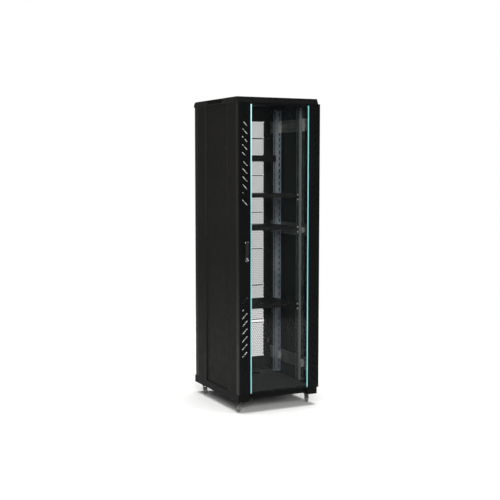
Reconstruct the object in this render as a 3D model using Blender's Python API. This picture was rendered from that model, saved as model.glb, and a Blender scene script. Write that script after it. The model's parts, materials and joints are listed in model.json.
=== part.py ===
"""Network server rack cabinet: a welded base and top frame on four posts, 19-inch rails,
shelves, glass front door, perforated rear door, lift-off side panels and swivel casters.

Metres, +Z up, +X to the right of someone who faces the front door, front door towards -Y.
The origin is on the floor under the middle of the cabinet's outer box.
"""
import math

import bmesh
import bpy
from mathutils import Matrix, Vector

MM = 0.001

# Overall sizes
WIDTH = 600 * MM
DEPTH = 720 * MM
RACK_UNIT = 44.45 * MM
RACK_UNITS = 42
RAIL_FOOT = 71 * MM            # underside of the base frame to the first rack unit
RAIL_HEAD = 62.1 * MM          # last rack unit to the top of the roof
HEIGHT = RAIL_FOOT + RACK_UNITS * RACK_UNIT + RAIL_HEAD

# Sheet metal and clearances
SHEET = 2 * MM
THIN_SHEET = 1.5 * MM
GAP = 0.3 * MM                 # between pieces that touch
RUN = 0.5 * MM                 # between pieces that slide or turn past each other
LAP = 1 * MM                   # how far welded shapes reach into each other

# Casters
WHEEL_RADIUS = 25 * MM
WHEEL_WIDTH = 20 * MM
CASTER_HEIGHT = 75 * MM
CASTER_PLATE = 60 * MM
CASTER_TRAIL = 28 * MM         # swivel axis to axle, measured level
CASTER_FROM_SIDE = 42 * MM
CASTER_FROM_END = 72 * MM
CASTER_SHEET = 3 * MM
CASTER_BOSS = 2 * MM
BOSS_RADIUS = 20 * MM
FORK_WALL = 2.5 * MM
FORK_GAP = 1 * MM              # wheel's side to the fork
FORK_CROWN = 18 * MM
FORK_BACK = 16 * MM
FORK_FRONT = 14 * MM
WHEEL_ROOM = 3 * MM            # above the wheel, inside the fork
AXLE_RADIUS = 4 * MM
CASTER_HEADINGS = {            # which way each wheel trails, degrees from straight forward
    "front_left": 35,
    "front_right": 217,
    "rear_left": 12,
    "rear_right": 24,
}

# Base frame and top frame
SKIRT_DROP = 10 * MM           # side beams hang this far below the front and rear beams
BASE_HEIGHT = 40 * MM
SIDE_BEAM = 77 * MM
CROSS_BEAM = 50 * MM
TOE_SETBACK = 18 * MM          # front and rear beams stand behind the corner blocks
TOP_HEIGHT = 37 * MM
TOP_BEAM = 50 * MM
TOP_FRONT_SLOPE = 20 * MM
TOP_REAR_ROUND = 40 * MM
TOP_REAR_DROP = 30 * MM
GRIP_START = 236 * MM          # trapezoid recess in each side of the top frame
GRIP_END = 487 * MM
GRIP_SLANT = 18 * MM
GRIP_FOOT = 9 * MM
GRIP_DEPTH = 1 * MM

# Corner posts, depth struts and rails
POST_INSET = 1 * MM
POST_LIP = 17 * MM
POST_FACE = 26 * MM
POST_STEP = 10 * MM
POST_LEDGE = 34 * MM
STRUT_DEPTH = 8 * MM
STRUT_HEIGHT = 84 * MM
STRUT_GROOVE = 4 * MM
STRUT_END = 30 * MM            # strut ends stop this far inside the posts' outer faces
LOW_STRUT = 178 * MM           # above the base frame's underside
MID_STRUT = 1111 * MM
TOP_STRUT = 169 * MM           # below the roof
RAIL_OPENING = 222 * MM        # half of the clear width between the rails
RAIL_FLANGE = 21.5 * MM
RAIL_JOGGLE = 12 * MM
RAIL_RETURN = 40 * MM
RAIL_SPARE = 11 * MM           # plain rail below the first and above the last rack unit
FRONT_RAIL = 158 * MM          # front plane to the front rails' flange
REAR_RAIL = 224 * MM           # rear rails' flange to the rear plane

# Doors
DOOR_GAP = 2 * MM
DOOR_DEPTH = 20 * MM
DOOR_EDGE_GAP = 0.5 * MM
DOOR_SIDE = 78 * MM            # width of the front door's steel side strips
DOOR_SKIN = 1.8 * MM
DOOR_TOP_EDGE = 12 * MM
DOOR_FOOT_EDGE = 9 * MM
GLASS_LIP = 12 * MM
GLASS = 5 * MM
GLASS_RECESS = 2 * MM
TRIM_WIDTH = 13 * MM
TRIM_FROM_STRIP = 2 * MM
SLOT_COUNT = 12
SLOT_PITCH = 51.2 * MM
SLOT_TOP = 122 * MM            # roof down to the first upper slot
SLOT_FOOT = 108 * MM           # base frame's underside up to the first lower slot
SLOT_FROM_EDGE = 38 * MM       # door's edge to the middle of the slots
SLOT_LENGTH = 52 * MM
SLOT_WIDTH = 6.6 * MM
REAR_DOOR_DEPTH = 18 * MM
REAR_DOOR_INSET = 17 * MM      # rear frame edges stand proud of the rear door
REAR_DOOR_SKIN = 1.2 * MM
VENT_HALF_WIDTH = 243 * MM
VENT_HEIGHT = 401 * MM
VENT_SLOT = 18 * MM

# Door hinges
HINGE_FROM_SIDE = 5 * MM
HINGE_FROM_BACK = 10 * MM
HINGE_PIN = 2.5 * MM
HINGE_PLATE = 3 * MM
HINGE_HEIGHT = 250 * MM        # from the base's underside, and from the roof
HINGE_RIB = 8 * MM
HINGE_RIB_INNER = 7 * MM       # pin's axis to the rib's inner edge
HINGE_RIB_END = 6 * MM         # pin's axis to the rib's free end
HINGE_NOTCH = 3 * MM
HINGE_PLATE_INNER = 11 * MM    # pin's axis to the bracket's inner, outer and free edges
HINGE_PLATE_OUTER = 2.4 * MM
HINGE_PLATE_END = 4 * MM
PIN_CLEARANCE = 0.3 * MM
PIN_POINTS = 16

# Swing handle
HANDLE_FROM_SIDE = 50 * MM
HANDLE_FOOT = 928 * MM
HANDLE_LENGTH = 133 * MM
HANDLE_WIDTH = 24 * MM
HANDLE_PLATE = 3.7 * MM
SPINDLE_FROM_TOP = 16 * MM
SPINDLE_RADIUS = 6 * MM
HUB_RADIUS = 10 * MM
HUB_DISC = 1.7 * MM
LEVER_THICK = 8 * MM
LEVER_WIDTH = 20 * MM
LEVER_NECK = 14 * MM
LEVER_LENGTH = 77 * MM
EAR = 2 * MM
LEVER_TIP = 4 * MM
LEVER_SHOULDER = 9 * MM        # half height of the cuts that make the lever's neck
EAR_REACH = 4 * MM
EAR_HALF = 5 * MM
FURNITURE_HOLE = 4 * MM        # depth of the cuts for spindle and lock in the door's skin
CAM_FROM_BACK = 10 * MM
CAM_HALF = 6 * MM
CAM_REACH = 12 * MM
LOCK_FROM_FOOT = 18 * MM
LOCK_RADIUS = 9 * MM
LOCK_PROUD = 7 * MM
LOCK_DEPTH = 12 * MM
KEYWAY_HALF_WIDTH = 0.6 * MM
KEYWAY_HALF_HEIGHT = 3.5 * MM
KEYWAY_DEPTH = 3 * MM
REAR_LOCK_FROM_SIDE = 30 * MM
REAR_LOCK_PROUD = 6 * MM
TONGUE_REACH = 24 * MM
TONGUE_HALF = 6 * MM

# Side panels
PANEL_MARGIN = 27.5 * MM
PANEL_REAR_MARGIN = 57 * MM
PANEL_RECESS = 6 * MM
RIB_FRONT = 171 * MM
RIB_REAR = 201 * MM            # rear rib to the rear plane
PANEL_RETURN = 9.5 * MM
PANEL_EDGE_GAP = 1.5 * MM      # between the panel and the base and top frames
PANEL_LOCK_RADIUS = 9 * MM
PANEL_LOCK_PROUD = 2.5 * MM
PANEL_LOCK_DEPTH = 15 * MM
PANEL_CAM_REACH = 26 * MM
PANEL_LOCK_TOP = 93 * MM
LATCH_TOP = 309 * MM
LATCH_FROM_RIB = 27 * MM
LATCH_WIDTH = 14 * MM
LATCH_HEIGHT = 26 * MM
LATCH_TRAVEL = 8 * MM
LATCH_PROUD = 2 * MM
LATCH_DEPTH = 5 * MM

# Shelves, power strip and fans
SHELF_UNITS = {"lower": 12, "middle": 24, "upper": 29}   # rack unit that each top face is on
SHELF_LIP = 22 * MM
EAR_WELD = 4 * MM              # how far an ear reaches behind the tray's side
SHELF_SIDE_GAP = 2.5 * MM
EAR_HALF_SPAN = 241 * MM
VENT_ROWS = 3
VENTS_PER_ROW = 5
SHELF_VENT = (60 * MM, 12 * MM)
POWER_UNIT = 34
POWER_DEPTH = 46 * MM
SWITCH_X = 190 * MM
SWITCH_WIDTH = 14 * MM
SWITCH_HEIGHT = 22 * MM
SWITCH_TILT = math.radians(8)
SWITCH_WELL = 12 * MM
SWITCH_AXIS = 4 * MM
SWITCH_KEEL = 5 * MM
FAN_SIZE = 120 * MM
FAN_RADIUS = 56 * MM
FAN_DEPTH = 32 * MM
FAN_SPACING = 150 * MM
FAN_BLADES = 7
FAN_HUB = 19 * MM
FAN_TIP_GAP = 2.5 * MM
FAN_RIM = 5 * MM
FAN_ARM_HALF = 4 * MM
FAN_ARM = 3 * MM
FAN_MOTOR = 4 * MM
BLADE_CHORD = 26 * MM
BLADE_THICK = 1.6 * MM
BLADE_ROOT = 3 * MM            # how far a blade reaches into the hub
BLADE_TWIST = math.radians(32)
CABLE_SLOT = (300 * MM, 80 * MM)

# Positions that follow from the sizes
HALF = WIDTH / 2
HANDLE_X = HALF - HANDLE_FROM_SIDE
LEVER_STANDOFF = HUB_DISC + GAP + 0.4 * MM
FRONT_PROUD = DOOR_GAP + DOOR_DEPTH + GAP + HANDLE_PLATE + LEVER_STANDOFF + LEVER_THICK
FRONT = -(DEPTH - FRONT_PROUD) / 2
REAR = FRONT + DEPTH
BASE = CASTER_HEIGHT + SKIRT_DROP
ROOF = BASE + HEIGHT
BASE_TOP = BASE + BASE_HEIGHT
TOP_UNDER = ROOF - TOP_HEIGHT
POST_X = HALF - POST_INSET
REAR_POST = REAR - REAR_DOOR_INSET - REAR_DOOR_DEPTH - DOOR_GAP
REAR_FACE = POST_FACE - 7 * MM
LEDGE_X = POST_X - POST_STEP
STRUT_OUTER = LEDGE_X - SHEET - GAP
STRUT_INNER = STRUT_OUTER - STRUT_DEPTH
DOOR_BACK = FRONT - DOOR_GAP
DOOR_FRONT = DOOR_BACK - DOOR_DEPTH
DOOR_LOW = BASE_TOP + DOOR_EDGE_GAP
DOOR_HIGH = TOP_UNDER - DOOR_EDGE_GAP
WINDOW_X = HALF - DOOR_SIDE
WINDOW_LOW = DOOR_LOW + DOOR_FOOT_EDGE
WINDOW_HIGH = DOOR_HIGH - DOOR_TOP_EDGE
GLASS_FRONT = DOOR_FRONT + GLASS_RECESS
GLASS_BACK = GLASS_FRONT + GLASS
HINGE_X = HALF - HINGE_FROM_SIDE
HINGE_HEIGHTS = {"bottom": BASE + HINGE_HEIGHT, "top": ROOF - HINGE_HEIGHT}
SPINDLE_Z = BASE + HANDLE_FOOT + HANDLE_LENGTH - SPINDLE_FROM_TOP
LOCK_Z = BASE + HANDLE_FOOT + LOCK_FROM_FOOT
HANDLE_FACE = DOOR_FRONT - GAP - HANDLE_PLATE
LEVER_AXIS_Y = HANDLE_FACE - LEVER_STANDOFF - LEVER_THICK / 2
REAR_SKIN = REAR - REAR_DOOR_INSET
REAR_DOOR_FRONT = REAR_SKIN - REAR_DOOR_DEPTH
RAIL_LOW = BASE + RAIL_FOOT
FRONT_FLANGE = FRONT + FRONT_RAIL
REAR_FLANGE = REAR - REAR_RAIL
PANEL_X = POST_X
RECESS_X = PANEL_X - PANEL_RECESS

BLACK = ("black_powder_coat", (0.012, 0.012, 0.011), 0.42, 0.0)
DOOR_BLACK = ("door_powder_coat", (0.010, 0.011, 0.012), 0.45, 0.0)
RAIL_GREY = ("blue_zinc", (0.30, 0.34, 0.39), 0.38, 0.9)
ZINC = ("bright_zinc", (0.55, 0.56, 0.55), 0.35, 1.0)
CLEAR = ("door_glass", (0.80, 0.88, 0.86), 0.03, 0.0)
TEAL = ("teal_trim", (0.22, 0.56, 0.58), 0.25, 0.0)
PLASTIC = ("black_plastic", (0.015, 0.015, 0.016), 0.5, 0.0)
LOCK_METAL = ("lock_chrome", (0.62, 0.63, 0.64), 0.22, 1.0)
TYRE = ("caster_tread", (0.28, 0.26, 0.23), 0.6, 0.0)


def clear_scene():
    for old in list(bpy.data.objects):
        bpy.data.objects.remove(old, do_unlink=True)


def material(look):
    """One Principled material per named look, shared by the pieces that have it."""
    name, colour, roughness, metallic = look
    found = bpy.data.materials.get(name)
    if found:
        return found
    made = bpy.data.materials.new(name)
    made.use_nodes = True
    shader = made.node_tree.nodes["Principled BSDF"]
    shader.inputs["Base Color"].default_value = (*colour, 1.0)
    shader.inputs["Roughness"].default_value = roughness
    shader.inputs["Metallic"].default_value = metallic
    made.diffuse_color = (*colour, 1.0)
    return made


def new_object(bm, name="shape"):
    bmesh.ops.recalc_face_normals(bm, faces=bm.faces)
    mesh = bpy.data.meshes.new(name)
    bm.to_mesh(mesh)
    bm.free()
    made = bpy.data.objects.new(name, mesh)
    bpy.context.scene.collection.objects.link(made)
    return made


def prism(outline, axis, start, end):
    """An outline drawn across an axis and pulled along it: (x, y), (x, z) or (y, z) points."""
    place = {
        "Z": lambda p, along: (p[0], p[1], along),
        "Y": lambda p, along: (p[0], along, p[1]),
        "X": lambda p, along: (along, p[0], p[1]),
    }[axis]
    bm = bmesh.new()
    near = [bm.verts.new(place(p, start)) for p in outline]
    far = [bm.verts.new(place(p, end)) for p in outline]
    bm.faces.new(near)
    bm.faces.new(list(reversed(far)))
    for i in range(len(outline)):
        j = (i + 1) % len(outline)
        bm.faces.new((near[j], near[i], far[i], far[j]))
    return new_object(bm)


def rectangle(low, high):
    return [(low[0], low[1]), (high[0], low[1]), (high[0], high[1]), (low[0], high[1])]


def box(low, high):
    return prism(rectangle(low[:2], high[:2]), "Z", low[2], high[2])


def circle(centre, radius, count=24):
    turn = 2 * math.pi / count
    return [(centre[0] + radius * math.cos(turn * i), centre[1] + radius * math.sin(turn * i))
            for i in range(count)]


def capsule(centre, length, width, lean, end_points=4):
    """A slot with round ends, leaning by an angle from the first axis."""
    reach = (length - width) / 2
    points = []
    for side in (1, -1):
        for i in range(end_points):
            angle = -math.pi / 2 + math.pi * i / (end_points - 1)
            along = side * (reach + width / 2 * math.cos(angle))
            across = side * width / 2 * math.sin(angle)
            points.append((centre[0] + along * math.cos(lean) - across * math.sin(lean),
                           centre[1] + along * math.sin(lean) + across * math.cos(lean)))
    return points


def folded_sheet(path, thickness):
    """Outline of a bent sheet whose one face follows the path; the other face is on its left."""
    points = [Vector(p) for p in path]
    ways = [(b - a).normalized() for a, b in zip(points, points[1:])]
    normals = [Vector((-w.y, w.x)) for w in ways]
    inner = [points[0] + normals[0] * thickness]
    for i in range(1, len(points) - 1):
        middle = (normals[i - 1] + normals[i]).normalized()
        inner.append(points[i] + middle * thickness / middle.dot(normals[i]))
    inner.append(points[-1] + normals[-1] * thickness)
    return [tuple(p) for p in points] + [tuple(p) for p in reversed(inner)]


def mirrored(outline, side):
    return [(side * x, y) for x, y in outline]


def shape_with(body, operation, tools):
    """Weld tools to a body or cut them out of it, and leave one plain mesh."""
    for tool in tools:
        change = body.modifiers.new(operation.lower(), "BOOLEAN")
        change.operation = operation
        change.solver = "EXACT"
        change.object = tool
        tool.hide_render = True
        tool.display_type = "WIRE"
    graph = bpy.context.evaluated_depsgraph_get()
    result = bpy.data.meshes.new_from_object(body.evaluated_get(graph))
    body.modifiers.clear()
    body.data = result
    for tool in tools:
        bpy.data.objects.remove(tool, do_unlink=True)
    return body


def weld(body, *tools):
    return shape_with(body, "UNION", tools)


def cut(body, *tools):
    return shape_with(body, "DIFFERENCE", tools)


def joined(shapes):
    """Several separate cutters as one object."""
    bm = bmesh.new()
    for shape in shapes:
        bm.from_mesh(shape.data)
        bpy.data.objects.remove(shape, do_unlink=True)
    return new_object(bm)


def finish(body, name, look, pivot=(0, 0, 0), smooth=False):
    """Name a piece, give it its look and put its origin on its pivot."""
    body.name = name
    body.data.name = name
    body.data.transform(Matrix.Translation(-Vector(pivot)))
    body.location = pivot
    body.data.materials.clear()
    body.data.materials.append(material(look))
    if smooth:
        body.data.shade_smooth()
        body.data.set_sharp_from_angle(angle=math.radians(35))
    return body


def base_frame():
    """A ring of open channels: two deep side beams that carry the casters, two cross beams."""
    side_low, side_high = CASTER_HEIGHT, BASE_TOP
    inner = HALF - SIDE_BEAM
    front, rear = FRONT + TOE_SETBACK, REAR - TOE_SETBACK
    ring = box((-HALF, FRONT, side_low), (-inner, REAR, side_high))
    weld(ring,
         box((-inner - LAP, front, BASE), (inner + LAP, front + CROSS_BEAM, side_high)),
         box((-inner - LAP, rear - CROSS_BEAM, BASE), (inner + LAP, rear, side_high)),
         box((inner, FRONT, side_low), (HALF, REAR, side_high)))
    hollows = [box((side * (HALF + inner) / 2 - (SIDE_BEAM / 2 - SHEET), FRONT + SHEET, side_low + SHEET),
                   (side * (HALF + inner) / 2 + (SIDE_BEAM / 2 - SHEET), REAR - SHEET, side_high - SHEET))
               for side in (-1, 1)]
    middle = box((-inner - SHEET - LAP, front + SHEET, BASE + SHEET),
                 (inner + SHEET + LAP, rear - SHEET, side_high - SHEET))
    cut(ring, hollows[0], hollows[1], middle)
    finish(ring, "base_frame", BLACK)


def floor_panel():
    """A sheet on the base frame with a cable slot near its rear edge."""
    reach = STRUT_INNER - 2 * MM
    back = REAR_POST - POST_FACE
    sheet = box((-reach, FRONT + STRUT_END, BASE_TOP + GAP), (reach, back, BASE_TOP + GAP + THIN_SHEET))
    slot_end = back - CROSS_BEAM
    opening = box((-CABLE_SLOT[0] / 2, slot_end - CABLE_SLOT[1], BASE_TOP - LAP),
                  (CABLE_SLOT[0] / 2, slot_end, BASE_TOP + 4 * SHEET))
    finish(cut(sheet, opening), "floor_panel", BLACK)


def top_profile(inset):
    """Side view of the top frame: a sloping front, a flat roof and a rounded rear edge."""
    rear_z = ROOF - TOP_REAR_DROP
    points = [(FRONT + inset, TOP_UNDER + inset),
              (FRONT + TOP_FRONT_SLOPE + inset, ROOF - inset)]
    for i in range(5):
        angle = math.pi / 2 * i / 4
        points.append((REAR - TOP_REAR_ROUND + (TOP_REAR_ROUND - inset) * math.sin(angle),
                       rear_z + (TOP_REAR_DROP - inset) * math.cos(angle)))
    points.append((REAR - inset, TOP_UNDER + inset))
    return points


def top_frame():
    """The roof's ring of open channels, with a rebate for the roof panel."""
    inner = HALF - TOP_BEAM
    ring = prism(top_profile(0), "X", -HALF, HALF)
    hollow = prism(top_profile(SHEET), "X", -HALF + SHEET, HALF - SHEET)
    opening = box((-inner, FRONT + TOP_BEAM + LAP, TOP_UNDER - LAP),
                  (inner, REAR - TOP_BEAM - LAP, ROOF + LAP))
    grips = []
    for side in (-1, 1):
        outline = [(FRONT + GRIP_START, ROOF + LAP),
                   (FRONT + GRIP_START + GRIP_SLANT, TOP_UNDER + GRIP_FOOT),
                   (FRONT + GRIP_END, TOP_UNDER + GRIP_FOOT), (FRONT + GRIP_END, ROOF + LAP)]
        grips.append(prism(outline, "X", side * (HALF - GRIP_DEPTH), side * (HALF + LAP)))
    finish(cut(ring, hollow, opening, *grips), "top_frame", BLACK)


def roof_panel():
    """A sheet that lies on the top frame's inner edge, with two round fan openings."""
    reach = HALF - TOP_BEAM - GAP
    sheet = box((-reach, FRONT + TOP_BEAM + LAP + GAP, ROOF - THIN_SHEET),
                (reach, REAR - TOP_BEAM - LAP - GAP, ROOF))
    holes = [prism(circle((side * FAN_SPACING / 2, fan_y()), FAN_RADIUS), "Z", ROOF - SHEET, ROOF + LAP)
             for side in (-1, 1)]
    finish(cut(sheet, *holes), "roof_panel", BLACK)


def fan_y():
    return (FRONT + REAR) / 2


def post_outline(side, front):
    """A folded post: lip behind the door, outer face, step and ledge for the side panel."""
    edge = FRONT if front else REAR_POST
    face = POST_FACE if front else REAR_FACE
    way = 1 if front else -1
    path = [(POST_X - POST_LIP, edge), (POST_X, edge), (POST_X, edge + way * face),
            (LEDGE_X, edge + way * face), (LEDGE_X, edge + way * (face + POST_LEDGE))]
    if not front:
        path.reverse()
    return mirrored(folded_sheet(path, SHEET), side)


def corner_posts():
    for end in ("front", "rear"):
        for hand, side in (("left", -1), ("right", 1)):
            outline = post_outline(side, end == "front")
            post = prism(outline, "Z", BASE_TOP + GAP, TOP_UNDER - GAP)
            finish(post, "corner_post_" + end + "_" + hand, BLACK)


def depth_struts():
    """Grooved channels that tie the posts together front to rear and carry the rails."""
    heights = {"low": BASE + LOW_STRUT, "middle": BASE + MID_STRUT, "top": ROOF - TOP_STRUT}
    half = STRUT_HEIGHT / 2
    groove = STRUT_INNER + STRUT_GROOVE
    for level, z in heights.items():
        path = [(STRUT_OUTER, z - half), (STRUT_INNER, z - half), (STRUT_INNER, z - half / 3),
                (groove, z - half / 3 + STRUT_GROOVE), (groove, z + half / 3 - STRUT_GROOVE),
                (STRUT_INNER, z + half / 3), (STRUT_INNER, z + half), (STRUT_OUTER, z + half)]
        path.reverse()
        outline = folded_sheet(path, THIN_SHEET)
        for hand, side in (("left", -1), ("right", 1)):
            bar = prism(mirrored(outline, side), "Y", FRONT + STRUT_END, REAR_POST - STRUT_END)
            finish(bar, "depth_strut_" + level + "_" + hand, ZINC)


def rails():
    """Vertical 19-inch rails: hole flange, joggle, plain strip and a return along the struts."""
    outer = STRUT_INNER - GAP
    bend = RAIL_OPENING + RAIL_FLANGE
    low = RAIL_LOW - RAIL_SPARE
    high = RAIL_LOW + RACK_UNITS * RACK_UNIT + RAIL_SPARE
    for end, flange in (("front", FRONT_FLANGE), ("rear", REAR_FLANGE)):
        path = [(RAIL_OPENING, flange), (bend, flange), (bend + RAIL_JOGGLE, flange - RAIL_JOGGLE),
                (outer, flange - RAIL_JOGGLE), (outer, flange - RAIL_JOGGLE + RAIL_RETURN)]
        outline = folded_sheet(path, SHEET)
        for hand, side in (("left", -1), ("right", 1)):
            rail = prism(mirrored(outline, side), "Z", low, high)
            finish(rail, "rail_" + end + "_" + hand, RAIL_GREY)


def shelf(level, unit):
    """A vented tray with turned-down lips and an ear on each rail."""
    top = RAIL_LOW + unit * RACK_UNIT
    reach = RAIL_OPENING - SHELF_SIDE_GAP
    front = FRONT_FLANGE - GAP - THIN_SHEET
    rear = REAR_FLANGE + SHEET + GAP + THIN_SHEET
    tray = box((-reach, front, top - SHELF_LIP), (reach, rear, top))
    ears = []
    for low, high in ((front, front + THIN_SHEET), (rear - THIN_SHEET, rear)):
        for side in (-1, 1):
            inner, outer = sorted((side * (reach - EAR_WELD), side * EAR_HALF_SPAN))
            ears.append(box((inner, low, top - RACK_UNIT + LAP), (outer, high, top - LAP)))
    cut(tray, box((-reach + THIN_SHEET, front + THIN_SHEET, top - 2 * SHELF_LIP),
                  (reach - THIN_SHEET, rear - THIN_SHEET, top - THIN_SHEET)))
    weld(tray, *ears)
    pitch_x = 2 * reach / VENTS_PER_ROW
    pitch_y = (rear - front) / (VENT_ROWS + 1)
    vents = []
    for row in range(VENT_ROWS):
        for column in range(VENTS_PER_ROW):
            centre = ((column - (VENTS_PER_ROW - 1) / 2) * pitch_x, front + pitch_y * (row + 1))
            outline = capsule(centre, SHELF_VENT[0], SHELF_VENT[1], 0)
            vents.append(prism(outline, "Z", top - 2 * SHEET, top + LAP))
    cut(tray, joined(vents))
    finish(tray, "shelf_" + level, BLACK)


def power_strip():
    """A one-unit power strip on the rear rails, its outlets and switch towards the rear."""
    low = RAIL_LOW + POWER_UNIT * RACK_UNIT + GAP
    high = low + RACK_UNIT - 2 * GAP
    reach = RAIL_OPENING - SHELF_SIDE_GAP
    face = REAR_FLANGE + SHEET + THIN_SHEET
    body = box((-reach, face - POWER_DEPTH, low), (reach, face, high))
    ear_back = REAR_FLANGE - GAP
    weld(body, box((-EAR_HALF_SPAN, ear_back - THIN_SHEET, low), (EAR_HALF_SPAN, ear_back, high)))
    z = (low + high) / 2
    half_w, half_h = SWITCH_WIDTH / 2 + RUN, SWITCH_HEIGHT / 2 + 2 * RUN
    well = box((SWITCH_X - half_w, face - SWITCH_WELL, z - half_h),
               (SWITCH_X + half_w, face + LAP, z + half_h))
    finish(cut(body, well), "power_strip", BLACK)
    rise = SWITCH_HEIGHT / 2 * math.tan(SWITCH_TILT)
    axis_y = face - SWITCH_AXIS
    outline = [(axis_y - SWITCH_KEEL, z),
               (axis_y, z - SWITCH_HEIGHT / 2), (face + GAP + rise, z - SWITCH_HEIGHT / 2),
               (face + GAP, z),
               (face + GAP + rise, z + SWITCH_HEIGHT / 2), (axis_y, z + SWITCH_HEIGHT / 2)]
    rocker = prism(outline, "X", SWITCH_X - SWITCH_WIDTH / 2, SWITCH_X + SWITCH_WIDTH / 2)
    finish(rocker, "power_switch", PLASTIC, (SWITCH_X, axis_y, z))


def door_slots():
    """Slanted vents in both side strips, twelve high and twelve low on each."""
    centres = []
    for i in range(SLOT_COUNT):
        centres.append((ROOF - SLOT_TOP - i * SLOT_PITCH, -1))
        centres.append((BASE + SLOT_FOOT + i * SLOT_PITCH, 1))
    slots = []
    for side in (-1, 1):
        x = side * (HALF - SLOT_FROM_EDGE)
        for z, lean in centres:
            angle = -side * lean * math.pi / 4
            outline = capsule((x, z), SLOT_LENGTH, SLOT_WIDTH, angle)
            slots.append(prism(outline, "Y", DOOR_FRONT - LAP, DOOR_FRONT + DOOR_SKIN + LAP))
    return joined(slots)


def front_door():
    """A steel frame with slotted channel sides around a fixed glass pane."""
    frame = box((-HALF, DOOR_FRONT, DOOR_LOW), (HALF, DOOR_BACK, DOOR_HIGH))
    lip_x = WINDOW_X - GLASS_LIP
    lip_front = GLASS_BACK + GAP
    lip_back = lip_front + THIN_SHEET
    half = [(WINDOW_X, DOOR_FRONT - LAP), (WINDOW_X, lip_front), (lip_x, lip_front),
            (lip_x, lip_back), (WINDOW_X, lip_back), (WINDOW_X, DOOR_BACK + LAP)]
    window = prism(half + mirrored(reversed(half), -1), "Z", WINDOW_LOW, WINDOW_HIGH)
    channels = []
    for side in (-1, 1):
        walls = sorted((side * (WINDOW_X + SHEET), side * (HALF - DOOR_SKIN)))
        channels.append(box((walls[0], DOOR_FRONT + DOOR_SKIN, WINDOW_LOW),
                            (walls[1], DOOR_BACK + LAP, WINDOW_HIGH)))
    depth = (DOOR_FRONT - LAP, DOOR_FRONT + FURNITURE_HOLE)
    spindle = prism(circle((-HANDLE_X, SPINDLE_Z), SPINDLE_RADIUS + RUN), "Y", *depth)
    lock = prism(circle((-HANDLE_X, LOCK_Z), LOCK_RADIUS + RUN), "Y", *depth)
    cut(frame, spindle, lock, window, *channels)
    axis = (HINGE_X, DOOR_BACK - HINGE_FROM_BACK)
    ribs, notches = hinge_pair(DOOR_FRONT + LAP, axis[1] + HINGE_RIB_END,
                               (DOOR_FRONT + DOOR_SKIN, DOOR_BACK + LAP))
    weld(frame, *ribs)
    cut(frame, *notches, *pin_holes(axis), door_slots())
    finish(frame, "front_door_frame", DOOR_BLACK, (*axis, BASE))
    pane = box((-WINDOW_X + GAP, GLASS_FRONT, WINDOW_LOW + GAP),
               (WINDOW_X - GAP, GLASS_BACK, WINDOW_HIGH - GAP))
    finish(pane, "front_glass", CLEAR, (*axis, BASE))
    for hand, side in (("left", -1), ("right", 1)):
        outer = side * (WINDOW_X - TRIM_FROM_STRIP)
        inner = outer - side * TRIM_WIDTH
        strip = box((min(outer, inner), DOOR_FRONT, WINDOW_LOW + GAP),
                    (max(outer, inner), GLASS_FRONT - GAP, WINDOW_HIGH - GAP))
        finish(strip, "glass_trim_" + hand, TEAL, (*axis, BASE))


def hinge_pair(near, far, notch):
    """Ribs that hold a door on its pins, and the notches that let the brackets in."""
    low, high = sorted((near, far))
    ribs, notches = [], []
    for z in HINGE_HEIGHTS.values():
        foot = z + HINGE_PLATE + RUN
        ribs.append(box((HINGE_X - HINGE_RIB_INNER, low, foot),
                        (HALF - LAP / 2, high, foot + HINGE_RIB)))
        notches.append(box((HALF - HINGE_NOTCH, min(notch), z - 2 * RUN),
                           (HALF + LAP, max(notch), foot + LAP / 2)))
    return ribs, notches


def pin_holes(axis):
    return [prism(circle(axis, HINGE_PIN + PIN_CLEARANCE, PIN_POINTS), "Z", z, z + 2 * HINGE_RIB)
            for z in HINGE_HEIGHTS.values()]


def hinge_brackets():
    """A small plate and pin on the right-hand posts for each end of each door."""
    for end in ("front", "rear"):
        if end == "front":
            axis_y = DOOR_BACK - HINGE_FROM_BACK
            root, tip = FRONT - GAP, axis_y - HINGE_PLATE_END
        else:
            axis_y = REAR_DOOR_FRONT + HINGE_FROM_BACK
            root, tip = REAR_POST + GAP, axis_y + HINGE_PLATE_END
        for level, z in HINGE_HEIGHTS.items():
            plate = box((HINGE_X - HINGE_PLATE_INNER, min(root, tip), z),
                        (HINGE_X + HINGE_PLATE_OUTER, max(root, tip), z + HINGE_PLATE))
            weld(plate, prism(circle((HINGE_X, axis_y), HINGE_PIN, PIN_POINTS), "Z",
                              z + LAP, z + HINGE_PLATE + HINGE_RIB + 2 * RUN))
            finish(plate, "hinge_" + end + "_" + level, ZINC)


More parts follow.
